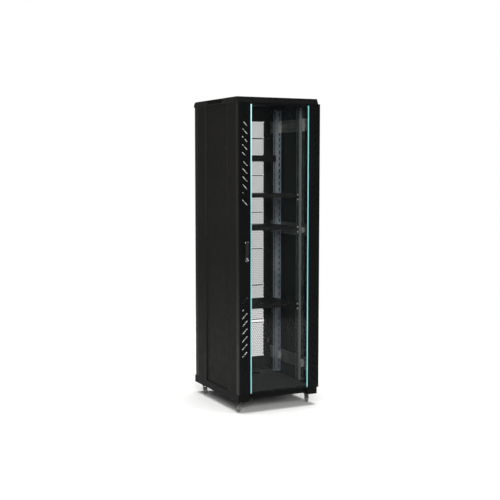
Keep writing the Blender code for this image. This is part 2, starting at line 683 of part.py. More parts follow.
def swing_handle():
    """Base plate, turning spindle with its cam, tilting lever and key lock."""
    foot, head = BASE + HANDLE_FOOT, BASE + HANDLE_FOOT + HANDLE_LENGTH
    x = -HANDLE_X
    half = HANDLE_WIDTH / 2
    plate = prism(capsule((x, (foot + head) / 2), HANDLE_LENGTH, HANDLE_WIDTH, math.pi / 2, 7),
                  "Y", HANDLE_FACE, DOOR_FRONT - GAP)
    cut(plate,
        prism(circle((x, SPINDLE_Z), SPINDLE_RADIUS + RUN), "Y", HANDLE_FACE - LAP, DOOR_FRONT + LAP),
        prism(circle((x, LOCK_Z), LOCK_RADIUS + RUN), "Y", HANDLE_FACE - LAP, DOOR_FRONT + LAP))
    finish(plate, "handle_base", PLASTIC, (HINGE_X, DOOR_BACK - HINGE_FROM_BACK, BASE))

    cam_y = DOOR_FRONT + DOOR_DEPTH - CAM_FROM_BACK
    spindle = prism(circle((x, SPINDLE_Z), SPINDLE_RADIUS), "Y", HANDLE_FACE - GAP - LAP, cam_y + LAP)
    disc = prism(circle((x, SPINDLE_Z), HUB_RADIUS), "Y", HANDLE_FACE - GAP - HUB_DISC, HANDLE_FACE - GAP)
    neck = LEVER_NECK / 2 + GAP
    ears = []
    for side in (-1, 1):
        inner, outer = sorted((x + side * neck, x + side * (neck + EAR)))
        ears.append(box((inner, LEVER_AXIS_Y - EAR_REACH, SPINDLE_Z - EAR_HALF),
                        (outer, HANDLE_FACE - GAP - LAP, SPINDLE_Z + EAR_HALF)))
    cam = box((x - half - CAM_REACH, cam_y, SPINDLE_Z - CAM_HALF),
              (x + CAM_HALF, cam_y + SHEET, SPINDLE_Z + CAM_HALF))
    weld(spindle, disc, *ears, cam)
    finish(spindle, "handle_spindle", LOCK_METAL, (x, HANDLE_FACE, SPINDLE_Z))

    radius = LEVER_THICK / 2
    side_view = [(LEVER_AXIS_Y + radius, SPINDLE_Z - LEVER_LENGTH),
                 (LEVER_AXIS_Y - radius + MM, SPINDLE_Z - LEVER_LENGTH),
                 (LEVER_AXIS_Y - radius, SPINDLE_Z - LEVER_LENGTH + LEVER_TIP)]
    for i in range(9):
        turn = math.pi * i / 8
        side_view.append((LEVER_AXIS_Y - radius * math.cos(turn), SPINDLE_Z + radius * math.sin(turn)))
    lever = prism(side_view, "X", x - LEVER_WIDTH / 2, x + LEVER_WIDTH / 2)
    shoulders = []
    for side in (-1, 1):
        inner, outer = sorted((x + side * LEVER_NECK / 2, x + side * (LEVER_WIDTH / 2 + LAP)))
        shoulders.append(box((inner, LEVER_AXIS_Y - LEVER_THICK, SPINDLE_Z - LEVER_SHOULDER),
                             (outer, LEVER_AXIS_Y + LEVER_THICK, SPINDLE_Z + LEVER_SHOULDER)))
    cut(lever, *shoulders)
    finish(lever, "handle_lever", PLASTIC, (x, LEVER_AXIS_Y, SPINDLE_Z))

    face = HANDLE_FACE - LOCK_PROUD
    barrel = prism(circle((x, LOCK_Z), LOCK_RADIUS), "Y", face, DOOR_FRONT + LOCK_DEPTH)
    keyway = box((x - KEYWAY_HALF_WIDTH, face - LAP, LOCK_Z - KEYWAY_HALF_HEIGHT),
                 (x + KEYWAY_HALF_WIDTH, face + KEYWAY_DEPTH, LOCK_Z + KEYWAY_HALF_HEIGHT))
    finish(cut(barrel, keyway), "handle_lock", LOCK_METAL, (x, HANDLE_FACE, LOCK_Z), smooth=True)


def rear_door():
    """A sheet pan between the frames, with an open strip low down and a key lock."""
    pan = box((-HALF, REAR_DOOR_FRONT, DOOR_LOW), (HALF, REAR_SKIN, DOOR_HIGH))
    hollow = box((-HALF + THIN_SHEET, REAR_DOOR_FRONT - LAP, DOOR_LOW + THIN_SHEET),
                 (HALF - THIN_SHEET, REAR_SKIN - REAR_DOOR_SKIN, DOOR_HIGH - THIN_SHEET))
    cut(pan, hollow)
    axis = (HINGE_X, REAR_DOOR_FRONT + HINGE_FROM_BACK)
    ribs, notches = hinge_pair(REAR_SKIN - REAR_DOOR_SKIN / 2, axis[1] - HINGE_RIB_END,
                               (REAR_DOOR_FRONT - LAP, REAR_SKIN - REAR_DOOR_SKIN))
    weld(pan, *ribs)
    vent_z = BASE + VENT_HEIGHT
    vent = box((-VENT_HALF_WIDTH, REAR_SKIN - 2 * SHEET, vent_z - VENT_SLOT / 2),
               (VENT_HALF_WIDTH, REAR_SKIN + LAP, vent_z + VENT_SLOT / 2))
    lock_at = (-HALF + REAR_LOCK_FROM_SIDE, SPINDLE_Z)
    bore = prism(circle(lock_at, LOCK_RADIUS + RUN), "Y", REAR_SKIN - 2 * SHEET, REAR_SKIN + LAP)
    cut(pan, *notches, *pin_holes(axis), vent, bore)
    finish(pan, "rear_door", BLACK, (*axis, BASE))
    face = REAR_SKIN + REAR_LOCK_PROUD
    barrel = prism(circle(lock_at, LOCK_RADIUS), "Y", REAR_SKIN - LOCK_DEPTH, face)
    tongue = box((lock_at[0] - TONGUE_HALF, REAR_SKIN - LOCK_DEPTH - SHEET / 2, lock_at[1] - TONGUE_REACH),
                 (lock_at[0] + TONGUE_HALF, REAR_SKIN - LOCK_DEPTH + SHEET / 2, lock_at[1] + TONGUE_HALF))
    keyway = box((lock_at[0] - KEYWAY_HALF_WIDTH, face - KEYWAY_DEPTH, lock_at[1] - KEYWAY_HALF_HEIGHT),
                 (lock_at[0] + KEYWAY_HALF_WIDTH, face + LAP, lock_at[1] + KEYWAY_HALF_HEIGHT))
    weld(barrel, tongue)
    finish(cut(barrel, keyway), "rear_lock", LOCK_METAL, (lock_at[0], REAR_SKIN, lock_at[1]), smooth=True)


def side_panels():
    """Ribbed sheets that lift out of the frame, each with two slide latches and a key lock."""
    front, rear = FRONT + PANEL_MARGIN, REAR - PANEL_REAR_MARGIN
    rib_front, rib_rear = FRONT + RIB_FRONT, REAR - RIB_REAR
    low, high = BASE_TOP + PANEL_EDGE_GAP, TOP_UNDER - PANEL_EDGE_GAP
    path = [(PANEL_X - PANEL_RETURN, rear), (PANEL_X, rear), (PANEL_X, rib_rear),
            (RECESS_X, rib_rear - PANEL_RECESS), (RECESS_X, rib_front + PANEL_RECESS),
            (PANEL_X, rib_front), (PANEL_X, front), (PANEL_X - PANEL_RETURN, front)]
    path.reverse()
    outline = folded_sheet(path, THIN_SHEET)
    lock_y, lock_z = (rib_front + rib_rear) / 2, ROOF - PANEL_LOCK_TOP
    latch_z = ROOF - LATCH_TOP
    latches = {"front": rib_front + LATCH_FROM_RIB,
               "rear": rib_rear - LATCH_FROM_RIB - LATCH_WIDTH / 2}
    for hand, side in (("left", -1), ("right", 1)):
        panel = prism(mirrored(outline, side), "Z", low, high)
        near, far = sorted((side * (RECESS_X - 2 * SHEET), side * (RECESS_X + LAP)))
        cutters = [prism(circle((lock_y, lock_z), PANEL_LOCK_RADIUS + RUN), "X", near, far)]
        for y in latches.values():
            window = rectangle((y - LATCH_WIDTH / 2 - RUN, latch_z - LATCH_HEIGHT / 2 - LATCH_TRAVEL - RUN),
                               (y + LATCH_WIDTH / 2 + RUN, latch_z + LATCH_HEIGHT / 2 + RUN))
            cutters.append(prism(window, "X", near, far))
        cut(panel, *cutters)
        finish(panel, "side_panel_" + hand, BLACK, (side * RECESS_X, lock_y, latch_z))
        panel_lock(hand, side, lock_y, lock_z)
        for place, y in latches.items():
            thumb = (side * RECESS_X, y, latch_z)
            side_latch("side_latch_" + place + "_" + hand, side, thumb)


def panel_lock(hand, side, y, z):
    """A round key lock with a flat cam behind the panel."""
    face = RECESS_X + PANEL_LOCK_PROUD
    back = RECESS_X - PANEL_LOCK_DEPTH
    barrel = prism(circle((y, z), PANEL_LOCK_RADIUS), "X", *sorted((side * back, side * face)))
    cam = rectangle((y - CAM_HALF, z - CAM_HALF), (y + CAM_HALF, z + PANEL_CAM_REACH))
    weld(barrel, prism(cam, "X", *sorted((side * (back - SHEET / 2), side * (back + SHEET / 2)))))
    keyway = rectangle((y - KEYWAY_HALF_WIDTH, z - KEYWAY_HALF_HEIGHT),
                       (y + KEYWAY_HALF_WIDTH, z + KEYWAY_HALF_HEIGHT))
    cut(barrel, prism(keyway, "X", *sorted((side * RECESS_X, side * (face + LAP)))))
    finish(barrel, "side_lock_" + hand, LOCK_METAL, (side * RECESS_X, y, z), smooth=True)


def side_latch(name, side, at):
    """A thumb slide with a finger hollow, in a window of the panel."""
    outline = rectangle((at[1] - LATCH_WIDTH / 2, at[2] - LATCH_HEIGHT / 2),
                        (at[1] + LATCH_WIDTH / 2, at[2] + LATCH_HEIGHT / 2))
    body = prism(outline, "X", *sorted((side * (RECESS_X - LATCH_DEPTH), side * (RECESS_X + LATCH_PROUD))))
    dish = rectangle((at[1] - LATCH_WIDTH / 4, at[2] - LATCH_HEIGHT / 4),
                     (at[1] + LATCH_WIDTH / 4, at[2] + LATCH_HEIGHT / 4))
    hollow = prism(dish, "X", *sorted((side * RECESS_X, side * (RECESS_X + 2 * LATCH_PROUD))))
    finish(cut(body, hollow), name, PLASTIC, at)


def fan_unit():
    """Two roof fans in one housing that hangs in the top frame's opening."""
    y = fan_y()
    low, high = ROOF - THIN_SHEET - GAP - FAN_DEPTH, ROOF - THIN_SHEET - GAP
    reach = (FAN_SPACING + FAN_SIZE) / 2 + FAN_RIM
    half = FAN_SIZE / 2 + FAN_RIM
    housing = box((-reach, y - half, low), (reach, y + half, high))
    centres = [(side * FAN_SPACING / 2, y) for side in (-1, 1)]
    cut(housing, *[prism(circle(c, FAN_RADIUS, 32), "Z", low - LAP, high + LAP) for c in centres])
    for x, _ in centres:
        weld(housing,
             box((x - FAN_RADIUS - LAP, y - FAN_ARM_HALF, low),
                 (x + FAN_RADIUS + LAP, y + FAN_ARM_HALF, low + FAN_ARM)),
             prism(circle((x, y), FAN_HUB), "Z", low, low + FAN_MOTOR))
    finish(housing, "fan_housing", PLASTIC)
    for hand, (x, _) in zip(("left", "right"), centres):
        fan_rotor("fan_rotor_" + hand, x, y, low + FAN_MOTOR + RUN, high - FAN_MOTOR)


def fan_rotor(name, x, y, low, high):
    hub = prism(circle((x, y), FAN_HUB), "Z", low, high)
    tip = FAN_RADIUS - FAN_TIP_GAP
    blades = []
    for i in range(FAN_BLADES):
        bm = bmesh.new()
        bmesh.ops.create_cube(bm, size=1.0)
        span = tip - FAN_HUB + BLADE_ROOT
        bmesh.ops.scale(bm, vec=(span, BLADE_CHORD, BLADE_THICK), verts=bm.verts)
        bmesh.ops.rotate(bm, matrix=Matrix.Rotation(BLADE_TWIST, 3, "X"), verts=bm.verts)
        bmesh.ops.translate(bm, vec=(tip - span / 2 - BLADE_ROOT, 0, 0), verts=bm.verts)
        around = Matrix.Rotation(2 * math.pi * i / FAN_BLADES, 3, "Z")
        bmesh.ops.rotate(bm, matrix=around, verts=bm.verts)
        bmesh.ops.translate(bm, vec=(x, y, (low + high) / 2), verts=bm.verts)
        blades.append(new_object(bm))
    weld(hub, *blades)
    finish(hub, name, PLASTIC, (x, y, low), smooth=True)


def casters():
    """Four swivel casters: a plate under the side beam, a fork that turns and its wheel."""
    for end, y in (("front", FRONT + CASTER_FROM_END), ("rear", REAR - CASTER_FROM_END)):
        for hand, side in (("left", -1), ("right", 1)):
            place = end + "_" + hand
            caster(place, side * (HALF - CASTER_FROM_SIDE), y, CASTER_HEADINGS[place])


def caster(place, x, y, heading):
    plate_top = CASTER_HEIGHT - GAP
    plate_low = plate_top - CASTER_SHEET
    boss_low = plate_low - CASTER_BOSS
    half = CASTER_PLATE / 2
    plate = box((x - half, y - half, plate_low), (x + half, y + half, plate_top))
    weld(plate, prism(circle((x, y), BOSS_RADIUS), "Z", boss_low, plate_low + LAP))
    finish(plate, "caster_plate_" + place, ZINC)

    fork_top = boss_low - RUN
    inner = WHEEL_WIDTH / 2 + FORK_GAP
    outer = inner + FORK_WALL
    axle_z = WHEEL_RADIUS
    side_view = [(FORK_FRONT, fork_top - 5 * MM), (FORK_FRONT, fork_top), (-FORK_BACK, fork_top),
                 (-CASTER_TRAIL - 8 * MM, axle_z + 6 * MM), (-CASTER_TRAIL - 6 * MM, axle_z - 7 * MM),
                 (-CASTER_TRAIL + 6 * MM, axle_z - 7 * MM)]
    fork = prism(side_view, "X", -outer, outer)
    well_top = WHEEL_RADIUS * 2 + WHEEL_ROOM
    cut(fork, box((-inner, -2 * CASTER_TRAIL, 0), (inner, 2 * CASTER_TRAIL, well_top)))
    weld(fork, prism(circle((0, 0), FORK_CROWN), "Z", fork_top - 4 * MM, fork_top))
    bore = AXLE_RADIUS + GAP
    hub = (-CASTER_TRAIL, axle_z)
    axle = prism(circle(hub, AXLE_RADIUS, PIN_POINTS), "X", -outer - LAP, outer + LAP)
    weld(fork, axle)
    turn = Matrix.Rotation(-math.radians(heading), 4, "Z")
    put = Matrix.Translation((x, y, 0)) @ turn
    fork.data.transform(put)
    finish(fork, "caster_fork_" + place, ZINC, (x, y, fork_top), smooth=True)

    wheel = prism(circle(hub, WHEEL_RADIUS, 40), "X", -WHEEL_WIDTH / 2, WHEEL_WIDTH / 2)
    cut(wheel, prism(circle(hub, bore, PIN_POINTS), "X", -WHEEL_WIDTH, WHEEL_WIDTH))
    wheel.data.transform(put)
    finish(wheel, "caster_wheel_" + place, TYRE, put @ Vector((0, -CASTER_TRAIL, axle_z)), smooth=True)


def build():
    clear_scene()
    base_frame()
    floor_panel()
    top_frame()
    roof_panel()
    corner_posts()
    depth_struts()
    rails()
    for level, unit in SHELF_UNITS.items():
        shelf(level, unit)
    power_strip()
    front_door()
    swing_handle()
    rear_door()
    hinge_brackets()
    side_panels()
    fan_unit()
    casters()


build()
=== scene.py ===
# %% [markdown]
# # A network rack cabinet, finished piece by piece
# The cabinet's solids are already made and packed: posts, rails, doors, panels and casters,
# each riding on the body that moves it. This lesson gives them their looks. Plain sheets are
# swapped for punched ones, screws and seals are added, and every surface gets a finish that
# varies the way the real one does. Lengths are in metres and +Z is up.

# %% Load the cabinet and keep its outer box
import json
import math

import bmesh
import bpy
from mathutils import Matrix, Vector


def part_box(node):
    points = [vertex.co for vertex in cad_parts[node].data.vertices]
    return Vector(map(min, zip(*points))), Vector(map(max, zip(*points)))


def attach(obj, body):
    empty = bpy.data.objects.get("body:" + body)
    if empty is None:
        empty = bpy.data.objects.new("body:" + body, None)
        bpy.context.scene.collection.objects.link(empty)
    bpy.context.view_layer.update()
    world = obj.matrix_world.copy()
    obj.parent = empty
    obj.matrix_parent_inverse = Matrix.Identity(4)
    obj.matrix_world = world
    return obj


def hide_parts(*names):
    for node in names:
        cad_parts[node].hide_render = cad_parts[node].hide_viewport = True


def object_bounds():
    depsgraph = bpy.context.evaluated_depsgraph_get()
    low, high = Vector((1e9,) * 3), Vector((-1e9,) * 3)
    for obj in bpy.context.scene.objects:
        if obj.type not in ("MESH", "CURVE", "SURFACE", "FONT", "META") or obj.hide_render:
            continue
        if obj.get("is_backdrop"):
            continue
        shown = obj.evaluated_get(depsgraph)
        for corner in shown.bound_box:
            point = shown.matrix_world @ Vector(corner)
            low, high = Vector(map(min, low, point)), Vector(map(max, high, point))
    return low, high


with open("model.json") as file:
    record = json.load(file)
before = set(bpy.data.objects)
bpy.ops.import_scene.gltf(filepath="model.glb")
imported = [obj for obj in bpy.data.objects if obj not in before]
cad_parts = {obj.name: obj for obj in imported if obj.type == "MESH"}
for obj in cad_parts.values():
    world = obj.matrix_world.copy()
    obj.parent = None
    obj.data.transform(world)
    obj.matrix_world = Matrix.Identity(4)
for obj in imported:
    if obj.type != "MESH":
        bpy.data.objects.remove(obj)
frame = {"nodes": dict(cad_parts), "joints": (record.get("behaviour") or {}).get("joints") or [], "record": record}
cad_low, cad_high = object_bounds()
print("cabinet box", [round(v, 4) for v in cad_low], [round(v, 4) for v in cad_high])

MM = 0.001
SIDES = {"left": -1, "right": 1}
ENDS = ("front", "rear")
RACK_UNIT = 44.45 * MM
RACK_UNITS = 42


def mm(*values):
    """Lengths given in millimetres, as metres."""
    return [value * MM for value in values]

# %% [markdown]
# ## Where we stand
# The camera looks at the cabinet from the front left, a little above its middle and from
# seven metres away, so that upright edges stay almost upright. Its long lens makes the
# cabinet fill the height of the view. It has no shift, and depth of field stays off, so the
# same camera also serves every other view.

# %% Camera
CAMERA_AT = Vector((-3.0205, -5.9512, 1.6306))
CAMERA_TURN = 0.4639
CAMERA_DIP = 0.0865
FOCAL_PER_WIDTH = 959.26 / 500


def aim(turn, dip):
    """The direction that a camera faces after a turn to the right and a dip below the horizon."""
    level = math.cos(dip)
    return Vector((math.sin(turn) * level, math.cos(turn) * level, -math.sin(dip)))


def add_object(name, data):
    """A new object in the scene."""
    made = bpy.data.objects.new(name, data)
    bpy.context.scene.collection.objects.link(made)
    return made


camera = add_object("camera", bpy.data.cameras.new("camera"))
camera.data.lens = FOCAL_PER_WIDTH * camera.data.sensor_width
camera.location = CAMERA_AT
camera.rotation_mode = "QUATERNION"
camera.rotation_quaternion = aim(CAMERA_TURN, CAMERA_DIP).to_track_quat("-Z", "Y")
camera.data.clip_end = 60
bpy.context.scene.camera = camera
print("lens", round(camera.data.lens, 2), "mm")

# %% [markdown]
# ## A finish is more than a colour
# Painted and plated sheet is never one flat tone. The coat is a shade lighter here and darker
# there, its gloss drifts, its surface has a fine grain, and it wears at folds and edges. All
# our metals and plastics need the same four things in other amounts, so one function builds
# them from noise: two tones mixed by slow noise, a roughness that follows middling noise, a
# grain that drives the bump, and an edge tone where a rounded normal leaves the true one,
# which is rubbed wear and, on the side panels, also a painted highlight.

# %% The finish maker
looks = {}
NOISE_MIDDLE = (0.35, 0.65)
FLAT_TO_CORNER = (0.98, 0.72)
BUMP_STRENGTH = 0.6


def node(tree, kind, **sockets):
    """A new node with some of its sockets set."""
    made = tree.nodes.new(f"ShaderNode{kind}")
    for socket, value in sockets.items():
        made.inputs[socket.replace("_", " ")].default_value = value
    return made


def open_material(name):
    """A new material: its node tree, main shader and the piece's own coordinates."""
    made = bpy.data.materials.new(name)
    made.use_nodes = True
    looks[name] = made
    tree = made.node_tree
    return tree, tree.nodes["Principled BSDF"], node(tree, "TexCoord")


def noise(tree, at, scale, detail):
    """A noise texture in the piece's own coordinates."""
    made = node(tree, "TexNoise", Scale=scale, Detail=detail)
    tree.links.new(at.outputs["Object"], made.inputs["Vector"])
    return made.outputs["Fac"]


def mapped(tree, value, source, target=(0.0, 1.0)):
    """Stretch a value from one range to another."""
    made = node(tree, "MapRange", From_Min=source[0], From_Max=source[1],
                To_Min=target[0], To_Max=target[1])
    tree.links.new(value, made.inputs["Value"])
    return made.outputs["Result"]


def mixed(tree, share, first, second):
    """Two colours mixed by a share from 0 to 1; each is a colour or another node's output."""
    made = node(tree, "Mix")
    made.data_type = "RGBA"
    tree.links.new(share, made.inputs["Factor"])
    for socket, colour in ((made.inputs[6], first), (made.inputs[7], second)):
        if isinstance(colour, tuple):
            socket.default_value = (*colour, 1.0)
        else:
            tree.links.new(colour, socket)
    return made.outputs[2]


def bumped(tree, shader, height, strength, distance):
    """Let a height tilt the surface's normal."""
    bump = node(tree, "Bump", Strength=strength, Distance=distance)
    tree.links.new(height, bump.inputs["Height"])
    tree.links.new(bump.outputs["Normal"], shader.inputs["Normal"])


def edge_wear_and_sheen(tree, radius, amount, speckle):
    """How much of the edge tone shows: 0 on flats, up to the amount on corners. It is rubbed wear, and on the side
    panels also a painted highlight.
    """
    rounded = node(tree, "Bevel", Radius=radius)
    rounded.samples = 4
    same, patchy = node(tree, "VectorMath"), node(tree, "Math")
    same.operation, patchy.operation = "DOT_PRODUCT", "MULTIPLY"
    tree.links.new(rounded.outputs["Normal"], same.inputs[0])
    tree.links.new(node(tree, "NewGeometry").outputs["Normal"], same.inputs[1])
    edge_share = mapped(tree, same.outputs["Value"], FLAT_TO_CORNER, (0.0, amount))
    tree.links.new(edge_share, patchy.inputs[0])
    tree.links.new(mapped(tree, speckle, (0.38, 0.62), (0.35, 1.0)), patchy.inputs[1])
    return patchy.outputs[0]


def finish(name, dark, light, gloss, drift, grain, depth, metallic=0.0, worn_and_sheen=None, wear=0.5,
           wear_radius=0.0012, coat=0.0, shine=0.5, along=None):
    """A procedural finish: tones, roughness range, grain and an edge tone, which is wear and on the side panels
    also a painted highlight.

    along is (coordinate output, axis, from, to, tone): the tone takes over where the
    coordinate on that axis goes from one value to the other.
    """
    tree, shader, at = open_material(name)
    slow = noise(tree, at, drift, 4.0)
    fine = noise(tree, at, drift * 14, 3.0)
    tone = mixed(tree, mapped(tree, slow, NOISE_MIDDLE), dark, light)
    if along:
        output, axis, first, last, other = along
        split = node(tree, "SeparateXYZ")
        tree.links.new(at.outputs[output], split.inputs[0])
        tone = mixed(tree, mapped(tree, split.outputs[axis], (first, last)), tone, other)
    if worn_and_sheen:
        tone = mixed(tree, edge_wear_and_sheen(tree, wear_radius, wear, fine), tone, worn_and_sheen)
    tree.links.new(tone, shader.inputs["Base Color"])
    tree.links.new(mapped(tree, fine, (0.3, 0.7), gloss), shader.inputs["Roughness"])
    shader.inputs["Metallic"].default_value = metallic
    shader.inputs["Coat Weight"].default_value = coat
    shader.inputs["Specular IOR Level"].default_value = shine
    bumped(tree, shader, noise(tree, at, grain, 2.0), BUMP_STRENGTH, depth)


print("finish maker ready")

# %% [markdown]
# ## Coats, platings and plastics
# The cabinet is mostly black powder coat: a baked film with a fine orange peel. The door is
# the blackest, and the side panels are a warmer, softer black. Blue passivation gives the
# rear rails their cool tone; the struts are duller zinc, and bolts, plates and clips are the
# brightest. The front rails take a darker copy of the zinc, which is painted shade, with a
# painted highlight on their faces turned towards -X. The back faces of every rail take a dark
# tone, painted shade in its folds, holes and slots. Three coats take a second tone along one
# direction: the panels are deeper near the base, the beads carry a painted highlight that
# grows towards the top, and the roof carries painted shade where it faces the front.

# %% The finishes
# Each line gives the dark and the light tone, the roughness range, and then how coarse the
# slow drift is, how fine the grain is and how deep.
COAT = ((0.0128, 0.0125, 0.0108), (0.0160, 0.0155, 0.0134))
DOOR_COAT = ((0.0022, 0.0024, 0.0027), (0.0034, 0.0037, 0.0040))
finish("black_powder_coat", *COAT, (0.40, 0.50), 1.6, 1300, 0.00015,
       worn_and_sheen=(0.050, 0.048, 0.044), shine=0.14)
# The side panels' edge tone is strong and broad: partly rubbed wear, partly a painted highlight along the folds.
finish("panel_coat", *COAT, (0.46, 0.54), 1.2, 1300, 0.00012, worn_and_sheen=(0.110, 0.108, 0.102), wear=0.8,
       wear_radius=0.003, shine=0.05, along=("Object", "Z", 1.3, 0.1, (0.0030, 0.0029, 0.0026)))
finish("base_coat", (0.0028, 0.0028, 0.0027), (0.0042, 0.0042, 0.0040), (0.44, 0.54), 2.0, 1300,
       0.00015, worn_and_sheen=(0.030, 0.030, 0.028), shine=0.05)
# The beads blend from near black to a lighter tone towards the top: a painted highlight along the folds.
finish("bead_coat_painted_highlight", (0.0030, 0.0030, 0.0028), (0.0042, 0.0042, 0.0040), (0.38, 0.48), 2.0, 1300,
       0.00010, shine=0.1, along=("Object", "Z", 0.9, 1.5, (0.030, 0.030, 0.028)))
# The floor panel's grey is raised above its coat's own tone to stand in for the light it reflects: its own coat
# and a painted reflection.
finish("floor_coat", (0.045, 0.047, 0.042), (0.068, 0.070, 0.063), (0.40, 0.55), 3.0, 1300,
       0.00020, worn_and_sheen=(0.075, 0.074, 0.070), shine=0.2)
# The roof's faces turned to the front blend to the door's near black: painted shade.
finish("roof_coat_front_shade", *COAT, (0.42, 0.52), 1.6, 1300, 0.00015, worn_and_sheen=(0.030, 0.029, 0.027),
       shine=0.10, along=("Normal", "Y", -0.3, -0.7, DOOR_COAT[0]))
finish("door_powder_coat", *DOOR_COAT, (0.40, 0.52), 2.0, 1300, 0.00015,
       worn_and_sheen=(0.030, 0.031, 0.033), shine=0.055)
finish("rail_zinc", (0.230, 0.285, 0.330), (0.360, 0.425, 0.475), (0.34, 0.52), 9.0, 420,
       0.00012, metallic=0.55, worn_and_sheen=(0.60, 0.63, 0.65), wear_radius=0.0008)
# The front rails' zinc is a darker copy of the rail zinc, painted shade; faces turned towards -X take a lighter
# tone, a painted highlight.
finish("front_rail_shade_and_highlight", (0.034, 0.043, 0.040), (0.080, 0.094, 0.089), (0.38, 0.55), 24.0, 420,
       0.00012, metallic=0.4, worn_and_sheen=(0.42, 0.45, 0.44), wear_radius=0.0008,
       along=("Normal", "X", -0.3, -0.6, (0.20, 0.22, 0.22)))
# The rails' back faces take a dark tone: painted shade inside the folds, holes and slots.
finish("rail_back_painted_shade", (0.016, 0.018, 0.020), (0.030, 0.033, 0.036), (0.55, 0.70), 9.0, 420,
       0.00012, shine=0.2)
finish("strut_zinc", (0.060, 0.065, 0.056), (0.125, 0.130, 0.115), (0.38, 0.52), 12.0, 520,
       0.00012, metallic=0.6, worn_and_sheen=(0.34, 0.35, 0.33), wear=0.8, wear_radius=0.0014)
finish("bright_zinc", (0.46, 0.47, 0.46), (0.64, 0.65, 0.63), (0.24, 0.42), 11.0, 520,
       0.00012, metallic=0.45, worn_and_sheen=(0.82, 0.82, 0.80), wear_radius=0.0008)
finish("black_plastic", (0.0050, 0.0050, 0.0055), (0.0095, 0.0095, 0.0100), (0.42, 0.58), 6.0,
       1700, 0.00015, worn_and_sheen=(0.040, 0.040, 0.040), shine=0.2)
finish("pad_black", (0.0070, 0.0069, 0.0063), (0.0092, 0.0090, 0.0082), (0.60, 0.75), 8.0,
       1700, 0.00015, shine=0.04)
finish("lock_chrome", (0.60, 0.61, 0.62), (0.74, 0.75, 0.76), (0.10, 0.24), 8.0, 700,
       0.00004, metallic=1.0, worn_and_sheen=(0.88, 0.88, 0.88), wear_radius=0.0006)
finish("lock_blue", (0.020, 0.052, 0.130), (0.030, 0.075, 0.175), (0.30, 0.45), 30.0, 900,
       0.00005, worn_and_sheen=(0.10, 0.20, 0.36), wear_radius=0.0005)
finish("caster_tread", (0.095, 0.082, 0.066), (0.150, 0.132, 0.108), (0.50, 0.72), 14.0, 900,
       0.0003, worn_and_sheen=(0.22, 0.20, 0.17))
print(len(looks), "finishes")

# %% [markdown]
# ## Teal strips and clear glass
# Two glossy teal strips are glazed down the sides of the door's glass. Their colour only
# drifts a little, and a thin coat gives the gloss. The left one pales towards its top. The
# glass itself must show the rails, so most light goes straight through. Facing the viewer it
# is nearly invisible, and at a shallow angle it turns into a mirror, which the Fresnel node
# works out from the angle alone. Smudges raise the roughness in slow patches.

# %% Teal and glass
TEAL = ((0.175, 0.500, 0.520), (0.215, 0.580, 0.600), (0.12, 0.22), 1.1, 260, 0.00003)
RUBBED = {"worn_and_sheen": (0.30, 0.62, 0.64), "wear": 0.3, "coat": 0.3}
finish("teal_trim", *TEAL, **RUBBED)
# The left strip's tone turns paler towards its top.
finish("teal_pale_top", *TEAL, **RUBBED, along=("Object", "Z", 1.25, 1.95, (0.520, 0.930, 0.950)))


def clear_glass():
    tree, shader, at = open_material("door_glass")
    smudge = noise(tree, at, 5.0, 4.0)
    tint = mixed(tree, mapped(tree, smudge, NOISE_MIDDLE),
                 (0.010, 0.014, 0.015), (0.022, 0.028, 0.029))
    tree.links.new(tint, shader.inputs["Base Color"])
    tree.links.new(mapped(tree, smudge, (0.3, 0.7), (0.02, 0.07)), shader.inputs["Roughness"])
    shade = node(tree, "Fresnel", IOR=1.5)
    solid = mapped(tree, shade.outputs["Fac"], (0.04, 0.6), (0.10, 0.75))
    tree.links.new(solid, shader.inputs["Alpha"])
    bumped(tree, shader, noise(tree, at, 2.0, 1.0), 0.1, 0.0005)


clear_glass()
print("glass and teal ready")

# %% [markdown]
# ## Finishing the solids that stay
# Most solids already have the right shape, so they keep it and only trade their plain
# material for a finish. Sheet metal has no razor edges, so the larger ones also get a narrow
# bevel. The solids come in with their triangles loose, and a weld joins them first.

# %% Paint the solids
slot_of = {part["node"]: part["material_slot"] for part in frame["record"]["subparts"]}
OWN_LOOK = {"roof_panel": "roof_coat_front_shade", "top_frame": "roof_coat_front_shade", "base_frame": "base_coat",
            "floor_panel": "floor_coat", "handle_base": "black_plastic",
            "handle_spindle": "black_plastic"}
for hand in SIDES:
    OWN_LOOK[f"side_panel_{hand}"] = "panel_coat"
    OWN_LOOK[f"side_lock_{hand}"] = "black_plastic"
    for end in ENDS:
        OWN_LOOK[f"caster_fork_{end}_{hand}"] = "strut_zinc"
for part, slot_name in slot_of.items():
    materials = frame["nodes"][part].data.materials
    materials.clear()
    materials.append(looks[OWN_LOOK.get(part, slot_name)])
print(len(slot_of), "solids painted")

WELD_WITHIN = 0.01 * MM
FOLD_ANGLE = math.radians(40)
ROUNDED = {"top_frame": 0.8, "base_frame": 0.6, "floor_panel": 0.4, "handle_base": 0.5}
for part, width in ROUNDED.items():
    solid = frame["nodes"][part]
    join = solid.modifiers.new("join", "WELD")
    join.merge_threshold = WELD_WITHIN
    edge = solid.modifiers.new("edge", "BEVEL")
    edge.width = width * MM
    edge.segments = 2
    edge.limit_method = "ANGLE"
    edge.angle_limit = FOLD_ANGLE
print("rounded", ", ".join(ROUNDED))

# %% [markdown]
# ## A small workshop of shapes
# Screws, rings and wheels are turned parts, so one function spins an outline round an axis.
# Covers, washers and seals are blocks with broken edges. Each function adds its shape to an
# open mesh, so that the many screws of one body can be one piece. `fit` closes the mesh,
# gives it a finish and puts it on the body that carries it.

